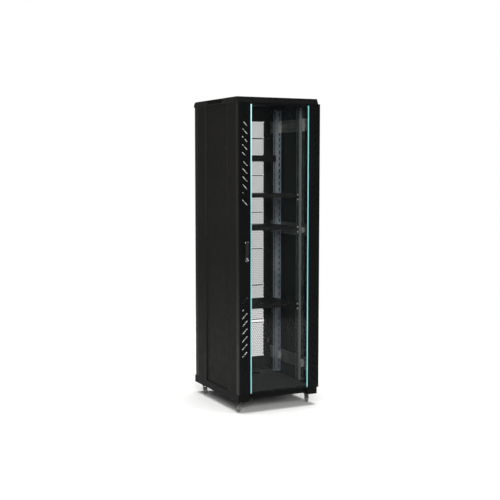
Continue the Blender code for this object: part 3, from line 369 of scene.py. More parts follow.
# %% Shape helpers
def add_block(bm, low, high, edge=0.3 * MM):
    """A block between two opposite corners, with its edges broken."""
    made = bmesh.ops.create_cube(bm, size=1.0)["verts"]
    size = [abs(h - l) for l, h in zip(low, high)]
    bmesh.ops.scale(bm, vec=size, verts=made)
    bmesh.ops.translate(bm, vec=[(l + h) / 2 for l, h in zip(low, high)], verts=made)
    edges = list({e for v in made for e in v.link_edges})
    bmesh.ops.bevel(bm, geom=edges, offset=min(edge, min(size) * 0.3), segments=2,
                    affect="EDGES", profile=0.5)


AXES = {"X": Vector((1, 0, 0)), "Y": Vector((0, 1, 0)), "Z": Vector((0, 0, 1)),
        "-X": Vector((-1, 0, 0)), "-Y": Vector((0, -1, 0)), "-Z": Vector((0, 0, -1))}


def around(count):
    """Cosine and sine in equal steps round a circle."""
    turns = [2 * math.pi * i / count for i in range(count)]
    return [(math.cos(turn), math.sin(turn)) for turn in turns]


def bridge(bm, first, second):
    """Join two rings of points with faces."""
    for i in range(len(first)):
        j = (i + 1) % len(first)
        bm.faces.new((first[i], first[j], second[j], second[i]))


def add_turned(bm, centre, axis, outline, count=24):
    """Spin an outline of (radius, along) points round an axis. A radius of 0 closes the end."""
    way = AXES[axis] if isinstance(axis, str) else Vector(axis)
    place = Matrix.Translation(centre) @ way.to_track_quat("Z", "Y").to_matrix().to_4x4()
    rings = []
    for radius, along in outline:
        spots = around(count) if radius > 1e-9 else [(0, 0)]
        rings.append([bm.verts.new(place @ Vector((radius * c, radius * s, along)))
                      for c, s in spots])
    for low, high in zip(rings, rings[1:]):
        for i in range(count):
            j = (i + 1) % count
            corners = [low[i % len(low)], low[j % len(low)],
                       high[j % len(high)], high[i % len(high)]]
            corners = [c for k, c in enumerate(corners) if c not in corners[:k]]
            if len(corners) > 2:
                bm.faces.new(corners)


def add_ring(bm, centre, axis, inner, outer, low, high, count=32, edge=0.3 * MM):
    """A washer, bearing race or tyre: a turned ring with broken edges."""
    profile = [(inner, low + edge), (inner, high - edge), (inner + edge, high),
               (outer - edge, high), (outer, high - edge), (outer, low + edge),
               (outer - edge, low), (inner + edge, low), (inner, low + edge)]
    add_turned(bm, centre, axis, profile, count)


def add_screw(bm, centre, axis, radius=4.5 * MM, height=2.6 * MM, washer=6.2 * MM):
    """A pan head with a cross recess, on a washer."""
    add_ring(bm, centre, axis, radius * 0.55, washer, 0.0, 0.8 * MM, 20, 0.2 * MM)
    dome = [(0.0, height - 1.1 * MM), (radius * 0.16, height - 1.0 * MM), (radius * 0.34, height),
            (radius * 0.72, height * 0.92), (radius * 0.97, height * 0.6), (radius, 0.7 * MM),
            (radius * 0.9, 0.2 * MM), (0.0, 0.2 * MM)]
    add_turned(bm, centre, axis, dome, 8 if radius < 3 * MM else 16)


def add_hex_bolt(bm, centre, axis, radius, height):
    """A six-sided head with a chamfered crown, on a washer."""
    add_ring(bm, centre, axis, radius * 0.5, radius * 1.32, 0.0, 1.0 * MM, 24, 0.2 * MM)
    head = [(0.0, height * 0.86), (radius * 0.62, height * 0.86), (radius * 0.8, height),
            (radius, height * 0.8), (radius, 0.9 * MM), (0.0, 0.9 * MM)]
    add_turned(bm, centre, axis, head, 6)


SHARP_ANGLE = math.radians(32)


def put(bm, name, look, body, replaces):
    """Close a mesh as a named piece with a finish, on the body that carries it."""
    mesh = bpy.data.meshes.new(name)
    bm.to_mesh(mesh)
    bm.free()
    made = add_object(name, mesh)
    mesh.materials.append(looks[look])
    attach(made, body)
    if replaces:
        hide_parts(*replaces)
    return made


def fit(bm, name, look, body, replaces=(), smooth=True):
    """A solid shape as a piece: its faces look outwards and its curves are shaded smooth."""
    bmesh.ops.recalc_face_normals(bm, faces=bm.faces)
    made = put(bm, name, look, body, replaces)
    if smooth:
        made.data.shade_smooth()
        made.data.set_sharp_from_angle(angle=SHARP_ANGLE)
    return made


print("shapes: block, turned, ring, screw, bolt")

# %% [markdown]
# ## Punched and folded sheet
# A rail is one strip of steel, punched while it is flat and folded afterwards. The model is
# made in the same order. A flat grid is laid out along the fold line, with extra lines at the
# edges of every hole, and the cells inside a hole are left out. Each grid point is then
# placed on the folded outline, and Solidify gives the sheet its thickness. Booleans could cut
# the holes too, but 126 holes a rail make them slow, and a grid stays clean.

# %% Punched sheet
CLOSE = 1e-6
CORNER_PUSH = 0.41


def lines(values):
    return sorted({round(v, 7) for v in values})


def punched_sheet(path, span, holes, place, flip):
    """Sheet along a 2-D path and a straight span.

    holes are (along path, along span, half size, half size, rounded): a rounded hole gets its
    end points pushed out, so that a square becomes an octagon and a slot gets pointed ends.
    """
    corners = [Vector(p) for p in path]
    reach = [0.0]
    for a, b in zip(corners, corners[1:]):
        reach.append(reach[-1] + (b - a).length)
    us, vs, moved = list(reach), list(span), {}
    for u, v, half_u, half_v, rounded in holes:
        us += [u - half_u, u + half_u]
        vs += [v - half_v, v + half_v]
        if rounded:
            us.append(u)
            vs.append(v)
            out = CORNER_PUSH * min(half_u, half_v)
            for du, dv in ((half_u, 0), (-half_u, 0), (0, half_v), (0, -half_v)):
                stretch = out if half_u == half_v or du == 0 else 0.0
                at = (round(u + du, 7), round(v + dv, 7))
                way = Vector((du, dv)).normalized() * stretch
                moved[at] = (u + du + way.x, v + dv + way.y)
    us, vs = lines(us), lines(vs)
    gone = set()
    for u, v, half_u, half_v, _ in holes:
        low_u, high_u = u - half_u - CLOSE, u + half_u - CLOSE
        low_v, high_v = v - half_v - CLOSE, v + half_v - CLOSE
        inside_u = [i for i, a in enumerate(us[:-1]) if low_u < a < high_u]
        inside_v = [j for j, a in enumerate(vs[:-1]) if low_v < a < high_v]
        gone.update((i, j) for i in inside_u for j in inside_v)

    def on_path(u):
        k = max(i for i in range(len(reach) - 1) if reach[i] <= u + 1e-9)
        share = (u - reach[k]) / (reach[k + 1] - reach[k])
        return corners[k].lerp(corners[k + 1], share)

    bm = bmesh.new()
    points = {}

    def point(i, j):
        if (i, j) not in points:
            u, v = moved.get((us[i], vs[j]), (us[i], vs[j]))
            points[i, j] = bm.verts.new(place(on_path(u), v))
        return points[i, j]

    for i in range(len(us) - 1):
        for j in range(len(vs) - 1):
            if (i, j) not in gone:
                corner = [point(i, j), point(i + 1, j), point(i + 1, j + 1), point(i, j + 1)]
                bm.faces.new(reversed(corner) if flip else corner)
    return bm


def fit_sheet(bm, thickness, name, look, body, replaces, back=""):
    """A punched sheet as a piece: the grid is the outer face, and Solidify backs it."""
    made = put(bm, name, look, body, replaces)
    backing = made.modifiers.new("thickness", "SOLIDIFY")
    if back:
        made.data.materials.append(looks[back])
        backing.material_offset = 1
    backing.thickness = thickness
    backing.offset = -1.0
    backing.use_even_offset = True
    return made


print("punched sheet ready")

# %% [markdown]
# ## The 19-inch rails
# Each rack unit is 44.45 mm tall and has three square holes, 15.9, 15.9 and 12.7 mm apart,
# that take cage nuts. Beside them the rail steps back. Its plain strip has one upright slot a
# unit, and the fold that lies along the struts has a small round hole a unit.

# %% Rails
UNIT_HOLES = mm(6.35, 22.225, 38.1)
SQUARE_HALF, ROUND_HALF, SLOT_HALF = 4.75 * MM, 2.6 * MM, mm(4.5, 12.5)
HOLE_COLUMN = 0.2325
SLOT_SHARE = 0.42
ROUND_LINE = 24 * MM
RAIL_FACE, RAIL_STEP, RAIL_SHEET = mm(21.5, 12, 2)
FIRST_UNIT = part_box("rail_front_left")[0].z + 11 * MM


def rail(end, hand):
    rack_rail = f"rail_{end}_{hand}"
    side = SIDES[hand]
    low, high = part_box(rack_rail)
    inner, outer = sorted((abs(low.x), abs(high.x)))
    flange, step = low.y + RAIL_STEP, RAIL_FACE + RAIL_STEP
    path = [(inner, flange), (inner + RAIL_FACE, flange), (inner + step, low.y),
            (outer, low.y), (outer, high.y)]
    strip = RAIL_FACE + RAIL_STEP * math.sqrt(2)
    width = outer - inner - step
    holes = []
    for unit in range(RACK_UNITS):
        foot = FIRST_UNIT + unit * RACK_UNIT
        for at in UNIT_HOLES:
            holes.append((HOLE_COLUMN - inner, foot + at, SQUARE_HALF, SQUARE_HALF, False))
        holes.append((strip + width * SLOT_SHARE, foot + UNIT_HOLES[1], *SLOT_HALF, True))
        holes.append((strip + width + ROUND_LINE, foot, ROUND_HALF, ROUND_HALF, True))
    sheet = punched_sheet(path, (low.z, high.z), holes,
                          lambda p, v: Vector((side * p.x, p.y, v)), side < 0)
    # The front rails take the darker zinc, with painted shade and a painted highlight.
    zinc = "front_rail_shade_and_highlight" if end == "front" else "rail_zinc"
    # The back faces of every rail take the dark tone, painted shade in the folds.
    return fit_sheet(sheet, RAIL_SHEET, f"punched_{rack_rail}", zinc, "cabinet", (rack_rail,),
                     "rail_back_painted_shade")


for end in ENDS:
    for hand in SIDES:
        made = rail(end, hand)
print(made.name, "has", len(made.data.polygons), "cells")

# %% [markdown]
# ## The depth struts
# Six grooved channels run from the front posts to the rear posts and carry the rails. They
# are punched all the way along, above and below the groove, so that the rails can be moved
# in steps of 25 mm.

# %% Struts
STRUT_STEP, STRUT_SHEET, STRUT_GROOVE, STRUT_HOLE = mm(25, 1.5, 4, 3)


def strut(level, hand):
    strip = f"depth_strut_{level}_{hand}"
    side = SIDES[hand]
    low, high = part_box(strip)
    inner, outer = sorted((abs(low.x), abs(high.x)))
    groove = inner + STRUT_GROOVE
    third = (high.z - low.z) / 3
    path = [(outer, high.z), (inner, high.z), (inner, high.z - third),
            (groove, high.z - third - STRUT_GROOVE), (groove, low.z + third + STRUT_GROOVE),
            (inner, low.z + third), (inner, low.z), (outer, low.z)]
    flat = outer - inner
    centres = (flat + third / 2, flat + 2.5 * third + 2 * STRUT_GROOVE * (math.sqrt(2) - 1))
    holes = []
    steps = int((high.y - low.y - STRUT_STEP) / STRUT_STEP)
    for i in range(steps + 1):
        y = low.y + (high.y - low.y - steps * STRUT_STEP) / 2 + i * STRUT_STEP
        for centre in centres:
            holes.append((centre, y, STRUT_HOLE, STRUT_HOLE, True))
    sheet = punched_sheet(path, (low.y, high.y), holes,
                          lambda p, v: Vector((side * p.x, v, p.y)), side > 0)
    return fit_sheet(sheet, STRUT_SHEET, f"punched_{strip}", "strut_zinc", "cabinet", (strip,))


for level in ("low", "middle", "top"):
    for hand in SIDES:
        made = strut(level, hand)
print(made.name, "has", len(made.data.polygons), "cells")

# %% [markdown]
# ## Plates and bolts where rails meet struts
# Every rail hangs on the struts by a small zinc plate with two hex bolts. The plates at the
# top struts are the tallest. The bolts' heads point to whoever stands in front.

# %% Rail plates
PLATE_SHEET, PLATE_GAP = mm(1.5, 0.3)
PLATE_EDGES = (0.2575, 0.2860)
BOLT_LINE = 0.2695
PLATE_HEIGHTS = {"low": 54 * MM, "middle": 36 * MM, "top": 86 * MM}


def rail_plates(end):
    plates, bolts = bmesh.new(), bmesh.new()
    for hand, side in SIDES.items():
        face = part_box(f"rail_{end}_{hand}")[0].y - PLATE_GAP
        inner, outer = (side * edge for edge in PLATE_EDGES)
        for level, height in PLATE_HEIGHTS.items():
            low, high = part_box(f"depth_strut_{level}_{hand}")
            middle = (low.z + high.z) / 2
            add_block(plates, (inner, face - PLATE_SHEET, middle - height / 2),
                      (outer, face, middle + height / 2), 0.4 * MM)
            for way in (-1, 1):
                at = (side * BOLT_LINE, face - PLATE_SHEET, middle + way * height * 0.3)
                add_hex_bolt(bolts, at, "-Y", *mm(5, 4))
    fit(plates, f"rail_plates_{end}", "bright_zinc", "cabinet")
    return fit(bolts, f"rail_bolts_{end}", "bright_zinc", "cabinet")


for end in ENDS:
    made = rail_plates(end)
print(made.name, [round(v, 3) for v in made.dimensions])

# %% [markdown]
# ## Screws and cage nuts
# A shelf is held at each corner by two screws in cage nuts. A cage nut is a square nut in a
# spring clip that snaps into a rail's hole, so its block shows just behind the rail. The
# power strip has two screws at each end on the rear rails.

# %% Shelf screws
EAR, CAGE_GAP, CAGE_HALF, CAGE_DEPTH = mm(1.8, 0.2, 6.2, 5)


def shelf_fixings(level):
    screws, cages = bmesh.new(), bmesh.new()
    low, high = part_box(f"shelf_{level}")
    holes = [high.z - RACK_UNIT + at for at in (UNIT_HOLES[0], UNIT_HOLES[2])]
    rear_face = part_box("rail_rear_left")[0].y + RAIL_STEP
    for side in SIDES.values():
        for z in holes:
            for face, axis, way in ((low.y, "-Y", 1), (high.y, "Y", -1)):
                x = side * HOLE_COLUMN
                add_screw(screws, (x, face, z), axis)
                wall = low.y + EAR + RAIL_SHEET if way > 0 else rear_face
                back = wall + way * CAGE_GAP
                add_block(cages, (x - CAGE_HALF, back, z - CAGE_HALF),
                          (x + CAGE_HALF, back + way * CAGE_DEPTH, z + CAGE_HALF), 0.8 * MM)
    fit(cages, f"cage_nuts_{level}", "bright_zinc", "cabinet")
    return fit(screws, f"shelf_screws_{level}", "bright_zinc", "cabinet")


for level in ("lower", "middle", "upper"):
    made = shelf_fixings(level)
print(made.name, len(made.data.polygons), "faces")

# %% [markdown]
# ## The perforated rear door
# The back of the cabinet breathes through a sheet punched with hexagons, so close together
# that only thin webs are left. A narrow unpunched line crosses it every 270 mm, and one of
# them is an open strip. The hexagons are laid out as cells of a honeycomb: each cell is a
# ring of six faces between its outline and its hole, and neighbours share their outline.
# Small filling faces make the field's own border straight.

# %% Honeycomb
HEX_PITCH = 15.304 * MM
HEX_REACH = HEX_PITCH / math.sqrt(3)
HEX_OPEN = 0.80
HEX_COLUMNS = 33


def hex_points(x, z, reach):
    turns = [math.radians(30 + 60 * k) for k in range(6)]
    return [(x + reach * math.cos(t), z + reach * math.sin(t)) for t in turns]


def honeycomb(bm, foot, rows, y):
    """Rows of punched hexagons above a foot line, as a straight-edged field."""
    shared = {}

    def vert(x, z):
        key = (round(x, 6), round(z, 6))
        if key not in shared:
            shared[key] = bm.verts.new((x, y, z))
        return shared[key]

    half = HEX_PITCH / 2
    left = -HEX_COLUMNS * half
    lift = 1.5 * HEX_REACH
    for row in range(rows):
        z = foot + HEX_REACH + row * lift
        odd = row % 2
        for column in range(HEX_COLUMNS - odd):
            x = left + half + column * HEX_PITCH + odd * half
            rim = [vert(*p) for p in hex_points(x, z, HEX_REACH)]
            punch = hex_points(x, z, HEX_REACH * HEX_OPEN)
            hole = [bm.verts.new((px, y, pz)) for px, pz in punch]
            bridge(bm, rim, hole)
            if row in (0, rows - 1) and column < HEX_COLUMNS - odd - 1:
                tip = z + (-HEX_REACH if row == 0 else HEX_REACH)
                bm.faces.new((vert(x, tip), vert(x + HEX_PITCH, tip),
                              vert(x + half, (z + tip) / 2)))
        if odd:
            for edge, near in ((left, left + half), (-left, -left - half)):
                bm.faces.new((vert(edge, z - HEX_REACH), vert(near, z - HEX_REACH / 2),
                              vert(near, z + HEX_REACH / 2), vert(edge, z + HEX_REACH)))


print("hexagon pitch", round(HEX_PITCH * 1000, 2), "mm")

# %% [markdown]
# ## Folding the rear door round the honeycomb
# The door is a shallow pan. Its folded edges and its margins are one punched sheet with a
# window for each field of honeycomb, notches for the hinge plates and a hole for the lock.
# The fields fill the windows exactly and lie in the same plane. Flanges close the pan's top
# and bottom, and two ribs ride on the hinge pins.

# %% Rear door
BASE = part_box("base_frame")[0].z + 10 * MM
LINE_START = BASE + 131 * MM
LINE_STEP = 270 * MM
FIELDS = [(0, 2.0, 19), (1, 12.0, 19), *((k, 0.25, 20) for k in range(2, 6)), (6, 3.0, 9)]
VENT_HALF, HINGE_ROOM, LOCK_DROP, LOCK_HALF, DOOR_SHEET, FLANGE = mm(9, 4.7, 9, 7, 1.2, 1.5)
LEVELS = ("bottom", "top")


def rear_door():
    low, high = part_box("rear_door")
    lock_low, lock_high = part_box("rear_lock")
    depth = high.y - low.y
    path = [(low.x, low.y), (low.x, high.y), (high.x, high.y), (high.x, low.y)]
    total = 2 * depth + high.x - low.x
    half = HEX_COLUMNS * HEX_PITCH / 2
    feet = [(LINE_START + k * LINE_STEP + shift * MM, rows) for k, shift, rows in FIELDS]
    holes = [(total / 2, LINE_START + LINE_STEP, half, VENT_HALF, False)]
    for foot, rows in feet:
        tall = 2 * HEX_REACH + (rows - 1) * 1.5 * HEX_REACH
        holes.append((total / 2, foot + tall / 2, half, tall / 2, False))
    for level in LEVELS:
        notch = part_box(f"hinge_rear_{level}")[0].z + DOOR_SHEET
        reach = (depth - DOOR_SHEET) / 2
        holes.append((total - reach, notch, reach, HINGE_ROOM / 2, False))
    lock_x = depth + (lock_low.x + lock_high.x) / 2 - low.x
    holes.append((lock_x, lock_high.z - LOCK_DROP, LOCK_HALF, LOCK_HALF, True))
    bm = punched_sheet(path, (low.z, high.z), holes, lambda p, v: Vector((p.x, p.y, v)), True)
    before = set(bm.faces)
    for foot, rows in feet:
        honeycomb(bm, foot, rows, high.y)
    for face in set(bm.faces) - before:
        face.normal_update()
        if face.normal.y < 0:
            face.normal_flip()
    return fit_sheet(bm, DOOR_SHEET, "rear_door_sheet", "black_powder_coat", "rear_door",
                     ("rear_door",))


made = rear_door()
print(made.name, len(made.data.polygons), "cells")

# %% Rear door flanges
low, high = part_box("rear_door")
right, back = high.x - DOOR_SHEET, high.y - DOOR_SHEET
trims = bmesh.new()
for z in (low.z, high.z - FLANGE):
    add_block(trims, (low.x + DOOR_SHEET, low.y, z), (right, back, z + FLANGE), 0.2 * MM)
for level in LEVELS:
    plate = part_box(f"hinge_rear_{level}")[0].z
    pin = Vector((0.295, low.y + 10 * MM, plate + 7.5 * MM))
    add_block(trims, pin - Vector(mm(7, 6, 4)), (right, back, pin.z))
    add_ring(trims, pin, "Z", *mm(2.8, 4.4, 0, 4), 20)
made = fit(trims, "rear_door_flanges", "black_powder_coat", "rear_door")
print(made.name, [round(v, 3) for v in made.dimensions])

# %% [markdown]
# ## Glazing the front door
# The glass lies against a steel lip and is held from behind by bars with small screws. The
# teal strips lie on its front face. Behind every slanted slot of the door's sides the sheet is
# folded in, which leaves two thin lips along the slot and a narrower gap for the air. A soft
# seal runs round the door's back edge, where it meets the frame. It is cut in one closed
# loop, so it can be drawn as a bead that follows a rounded rectangle.

# %% Beads and rounded loops
def add_tube(bm, path, radius, count=8, closed=True):
    """A round bead along a path of points."""
    points = [Vector(p) for p in path]
    rings = []
    for i, at in enumerate(points):
        ahead = points[(i + 1) % len(points)] if closed or i + 1 < len(points) else at
        behind = points[i - 1] if closed or i else at
        turn = (ahead - behind).normalized().to_track_quat("Z", "Y").to_matrix()
        rings.append([bm.verts.new(at + turn @ Vector((radius * c, radius * s, 0)))
                      for c, s in around(count)])
    for first, second in zip(rings, rings[1:] + rings[:1] if closed else rings[1:]):
        bridge(bm, first, second)
    if not closed:
        bm.faces.new(rings[0])
        bm.faces.new(reversed(rings[-1]))


def rounded_loop(low, high, radius, steps=6):
    """Points round a rectangle with rounded corners, as (across, up)."""
    left, foot, right, head = low[0] + radius, low[1] + radius, high[0] - radius, high[1] - radius
    points = []
    for k, (x, z) in enumerate(((right, head), (left, head), (left, foot), (right, foot))):
        for i in range(steps + 1):
            turn = math.pi / 2 * (k + i / steps)
            points.append((x + radius * math.cos(turn), z + radius * math.sin(turn)))
    return points


print("beads ready")

# %% Teal strips
door_low, door_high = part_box("front_door_frame")
STRIPS = {"left": ("teal_pale_top", -0.2200, -0.2122), "right": ("teal_trim", 0.2068, 0.2146)}
for hand, (look, inner, outer) in STRIPS.items():
    low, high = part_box(f"glass_trim_{hand}")
    strip = bmesh.new()
    add_block(strip, (inner, *low.yz), (outer, *high.yz), 0.25 * MM)
    made = fit(strip, f"teal_strip_{hand}", look, "front_door", (f"glass_trim_{hand}",))
    print(made.name, [round(v, 4) for v in made.dimensions])

# %% Lips behind the slots
SLOTS = 12
SLOT_STEP, SLOT_LENGTH, LIP_NEAR, LIP_FAR, LIP_DEPTH, LIP_BACK = mm(51.2, 52, 1.9, 4.9, 1.2, 1.8)
SLOT_LINE = 0.262
SLOT_TOP = cad_high.z - 122 * MM
SLOT_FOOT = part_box("base_frame")[0].z + 118 * MM
lips = bmesh.new()
for side in SIDES.values():
    for i in range(SLOTS):
        for z, lean in ((SLOT_TOP - i * SLOT_STEP, 1), (SLOT_FOOT + i * SLOT_STEP, -1)):
            angle = side * lean * math.pi / 4
            turn = Matrix.Rotation(-angle, 4, "Y")
            place = Matrix.Translation((side * SLOT_LINE, door_low.y + LIP_BACK, z)) @ turn
            for hand in (-1, 1):
                before = set(lips.verts)
                add_block(lips, (-SLOT_LENGTH / 2, 0, hand * LIP_NEAR),
                          (SLOT_LENGTH / 2, LIP_DEPTH, hand * LIP_FAR), 0.2 * MM)
                bmesh.ops.transform(lips, matrix=place, verts=list(set(lips.verts) - before))
made = fit(lips, "slot_lips", "door_powder_coat", "front_door")
print(made.name, [round(v, 3) for v in made.dimensions])

# %% Glazing bars, screws and seal
glass_low, glass_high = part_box("front_glass")
GLAZING_SCREWS = 7
BAR_INNER, BAR_OUTER, BAR_SCREW, RAIL_HALF = 0.2112, 0.2212, 0.2162, 0.205
bars, screws, seal = bmesh.new(), bmesh.new(), bmesh.new()
back = glass_high.y + 2.2 * MM
front = back + 3 * MM
screw_foot = glass_low.z + 60 * MM
screw_step = (glass_high.z - 60 * MM - screw_foot) / (GLAZING_SCREWS - 1)
for side in SIDES.values():
    add_block(bars, (side * BAR_INNER, back, glass_low.z + 6 * MM),
              (side * BAR_OUTER, front, glass_high.z - 6 * MM), 0.6 * MM)
    for i in range(GLAZING_SCREWS):
        at = (side * BAR_SCREW, front, screw_foot + i * screw_step)
        add_screw(screws, at, "Y", *mm(2.8, 1.8, 3.8))
for z in (glass_low.z + 1 * MM, glass_high.z - 9 * MM):
    add_block(bars, (-RAIL_HALF, back - 1.8 * MM, z), (RAIL_HALF, back + 1.6 * MM, z + 8 * MM),
              0.6 * MM)
loop = rounded_loop((-0.2905, door_low.z + 7 * MM), (0.2785, door_high.z - 6 * MM), 6 * MM)
add_tube(seal, [(x, door_high.y + 0.2 * MM, z) for x, z in loop], 1.5 * MM)
fit(bars, "glazing_bars", "door_powder_coat", "front_door")
fit(screws, "glazing_screws", "bright_zinc", "front_door")
made = fit(seal, "front_door_seal", "black_plastic", "front_door")
print(made.name, [round(v, 3) for v in made.dimensions])

# %% [markdown]
# ## The swing handle
# The handle lies flat on its base until its foot is unlocked. Then the lever tips out and
# turns the cam behind it. The lever is lofted: rounded sections are stacked along its length,
# narrow at the pivot, broad for the fingers and thinner at the tip. A bright rim frames the
# base, and the lock at its foot has a coloured face with a key slot.

# %% Handle lever
def add_loft(bm, sections, count=16, power=3.2):
    """Rounded rectangles stacked along Z: each section is (x, y, z, half width, half depth)."""
    rings = []
    for x, y, z, wide, deep in sections:
        ring = []
        for i in range(count):
            turn = 2 * math.pi * (i + 0.5) / count
            c, s = math.cos(turn), math.sin(turn)
            ring.append(bm.verts.new((x + wide * math.copysign(abs(c) ** (2 / power), c),
                                      y + deep * math.copysign(abs(s) ** (2 / power), s), z)))
        rings.append(ring)
    for first, second in zip(rings, rings[1:]):
        bridge(bm, first, second)
    bm.faces.new(list(reversed(rings[0])))
    bm.faces.new(rings[-1])


low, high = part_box("handle_lever")
middle, deep = (low + high) / 2, (high.y - low.y) / 2
spindle = high.z - deep
SECTIONS = [(low.z, ((0, 6.4, 0.62), (0.6, 7.6, 0.78), (2.4, 8.8, 0.92), (7, 9.4, 1.0),
                     (22, 9.9, 1.0))),
            (spindle, ((-26, 9.9, 1.0), (-13, 9.6, 0.98), (-9.6, 7.4, 0.96), (-8.6, 6.9, 0.95),
                       (1.2, 6.9, 0.95), (3, 6.6, 0.68))),
            (high.z, ((-0.1, 6.2, 0.30),))]
grip = bmesh.new()
add_loft(grip, [(middle.x, middle.y, foot + rise * MM, wide * MM, deep * share)
                for foot, part in SECTIONS for rise, wide, share in part])
made = fit(grip, "handle_grip", "black_plastic", "handle_lever", ("handle_lever",))
print(made.name, [round(v, 3) for v in made.dimensions])

# %% Handle rim and lock face
RIM_INSET, RIM_TURN, RIM_RADIUS = mm(0.9, 0.95, 0.6)
low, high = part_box("handle_base")
loop = rounded_loop((low.x + RIM_INSET, low.z + RIM_INSET),
                    (high.x - RIM_INSET, high.z - RIM_INSET), (high.x - low.x) / 2 - RIM_TURN, 10)
rim = bmesh.new()
add_tube(rim, [(x, low.y + 0.1 * MM, z) for x, z in loop], RIM_RADIUS)
fit(rim, "handle_rim", "lock_chrome", "front_door")

low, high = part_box("handle_lock")
centre = Vector(((low.x + high.x) / 2, low.y, (low.z + high.z) / 2))
collar, face = bmesh.new(), bmesh.new()
add_ring(collar, centre, "-Y", *mm(5.2, 8.8, -0.6, 0.9))
fit(collar, "handle_lock_collar", "lock_chrome", "handle_lock")
for way in (-1, 1):
    for near, far in (((way * 0.8, -0.5, -2.6), (way * 4.8, 0.3, 2.6)),
                      ((-3, -0.5, way * 2.6), (3, 0.3, way * 4.4))):
        add_block(face, centre + Vector(mm(*near)), centre + Vector(mm(*far)), 0.5 * MM)
made = fit(face, "handle_lock_face", "lock_blue", "handle_lock")

# %% [markdown]
# ## Side panel locks and latches
# Each side panel has a round lock in the middle and two thumb slides. A moulded collar sits
# round the lock, and a nut closes its back. A bezel frames each slide's window, three grip
# bars give the thumb something to push, and a cover behind the window keeps dust and light
# out. Rolled beads stiffen the panel along its folds, and thin seals close the gaps above and
# below it.

# %% Side panel locks
FACE_INSET = 6 * MM


def side_lock(hand, side):
    low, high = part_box(f"side_lock_{hand}")
    y, z = (low.y + high.y) / 2, low.z + 9 * MM
    face = max(abs(v.x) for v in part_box(f"side_panel_{hand}")) - FACE_INSET
    outwards, inwards = ("X", "-X") if side > 0 else ("-X", "X")
    collar, nut = bmesh.new(), bmesh.new()
    add_ring(collar, (side * face, y, z), outwards, *mm(9.6, 13, 0.05, 1.6), 40, 0.5 * MM)
    fit(collar, f"side_lock_collar_{hand}", "black_plastic", f"side_panel_{hand}")
    outline = ((0, 2.2), (5.6, 2.2), (6.6, 1.4), (6.6, 0.02), (0, 0.02))
    inside = min(abs(low.x), abs(high.x))
    add_turned(nut, (side * inside, y, z), inwards, [mm(*point) for point in outline], 6)
    return fit(nut, f"side_lock_nut_{hand}", "strut_zinc", f"side_lock_{hand}")


for hand, side in SIDES.items():
    made = side_lock(hand, side)

# %% Side panel latches
GRIP_STEPS = mm(-3.6, 0.0, 3.6)
GRIP_HALF, COVER_GAP, COVER_DEPTH = mm(0.7, 1.7, 2.5)


def add_frame(bm, near, far, room, gap, edge):
    """Four bars, 3 mm broad, round a room of (y, y, z, z), a gap away from it."""
    left, right, foot, head = room
    wide, lap = gap + 3 * MM, 1 * MM
    for y0, y1, z0, z1 in ((left - wide, left - gap, foot - wide, head + wide),
                           (right + gap, right + wide, foot - wide, head + wide),
                           (left - lap, right + lap, foot - wide, foot - gap),
                           (left - lap, right + lap, head + gap, head + wide)):
        add_block(bm, (near, y0, z0), (far, y1, z1), edge)


def side_latches(hand, side):
    edges = [abs(v.x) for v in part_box(f"side_panel_{hand}")]
    face, inside = max(edges) - FACE_INSET, min(edges)
    back = side * (inside - COVER_GAP)
    bezels, covers = bmesh.new(), bmesh.new()
    for end in ENDS:
        slide = f"side_latch_{end}_{hand}"
        low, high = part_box(slide)
        room = (low.y - 0.5 * MM, high.y + 0.5 * MM, low.z - 8.5 * MM, high.z + 0.5 * MM)
        add_frame(bezels, side * (face + 0.05 * MM), side * (face + 1.3 * MM), room, 0, 0.4 * MM)
        add_frame(covers, back, side * (inside - 0.1 * MM), room, 1 * MM, 0.2 * MM)
        add_block(covers, (back - side * COVER_DEPTH, room[0] - 4 * MM, room[2] - 4 * MM),
                  (back, room[1] + 4 * MM, room[3] + 4 * MM))
        grips = bmesh.new()
        for step in GRIP_STEPS:
            z = (low.z + high.z) / 2 + step
            add_block(grips, (side * (face + 0.2 * MM), low.y + 4 * MM, z - GRIP_HALF),
                      (side * (face + 1.9 * MM), high.y - 4 * MM, z + GRIP_HALF))
        fit(grips, f"side_latch_grips_{end}_{hand}",
            "strut_zinc" if end == "rear" else "black_plastic", slide)
    fit(covers, f"side_latch_covers_{hand}", "black_plastic", f"side_panel_{hand}")
    return fit(bezels, f"side_latch_bezels_{hand}", "black_plastic", f"side_panel_{hand}")


for hand, side in SIDES.items():
    made = side_latches(hand, side)

# %% Side panel beads and seals
BEADS = (-0.1768, 0.1792)
BEAD_WIDTH, SEAL_HEIGHT = mm(4, 1.2)


def side_trims(hand, side):
    low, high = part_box(f"side_panel_{hand}")
    inner, outer = sorted((abs(low.x), abs(high.x)))
    seals, beads = bmesh.new(), bmesh.new()
    for foot in (low.z - SEAL_HEIGHT, high.z):
        add_block(seals, (side * (inner + 2.5 * MM), low.y + 2 * MM, foot),
                  (side * (outer - 0.6 * MM), high.y - 2 * MM, foot + SEAL_HEIGHT))
    fit(seals, f"side_panel_seals_{hand}", "black_plastic", f"side_panel_{hand}")
    for y in (low.y + 1.5 * MM, *BEADS, high.y - 5.5 * MM):
        add_block(beads, (side * (outer - 0.2 * MM), y, low.z + 4 * MM),
                  (side * (outer + 0.8 * MM), y + BEAD_WIDTH, high.z - 4 * MM), 0.45 * MM)
    # The beads' finish carries a painted highlight towards the top.
    return fit(beads, f"side_panel_beads_{hand}", "bead_coat_painted_highlight", f"side_panel_{hand}")


for hand, side in SIDES.items():
    made = side_trims(hand, side)

# %% [markdown]
# ## The power strip's outlets
# The strip on the rear rails faces backwards. Eight round outlets stand in a row beside the
# rocker switch: each is a moulded collar with a sunken floor, two pin sleeves and two earth
# clips. On the side that faces the door a plain cover closes the wiring.

# %% Outlets
OUTLETS = 8
OUTLET_STEP = 44 * MM
FIRST_OUTLET = -0.186
PIN_REACH, CLIP_REACH = mm(9.5, 15.5)

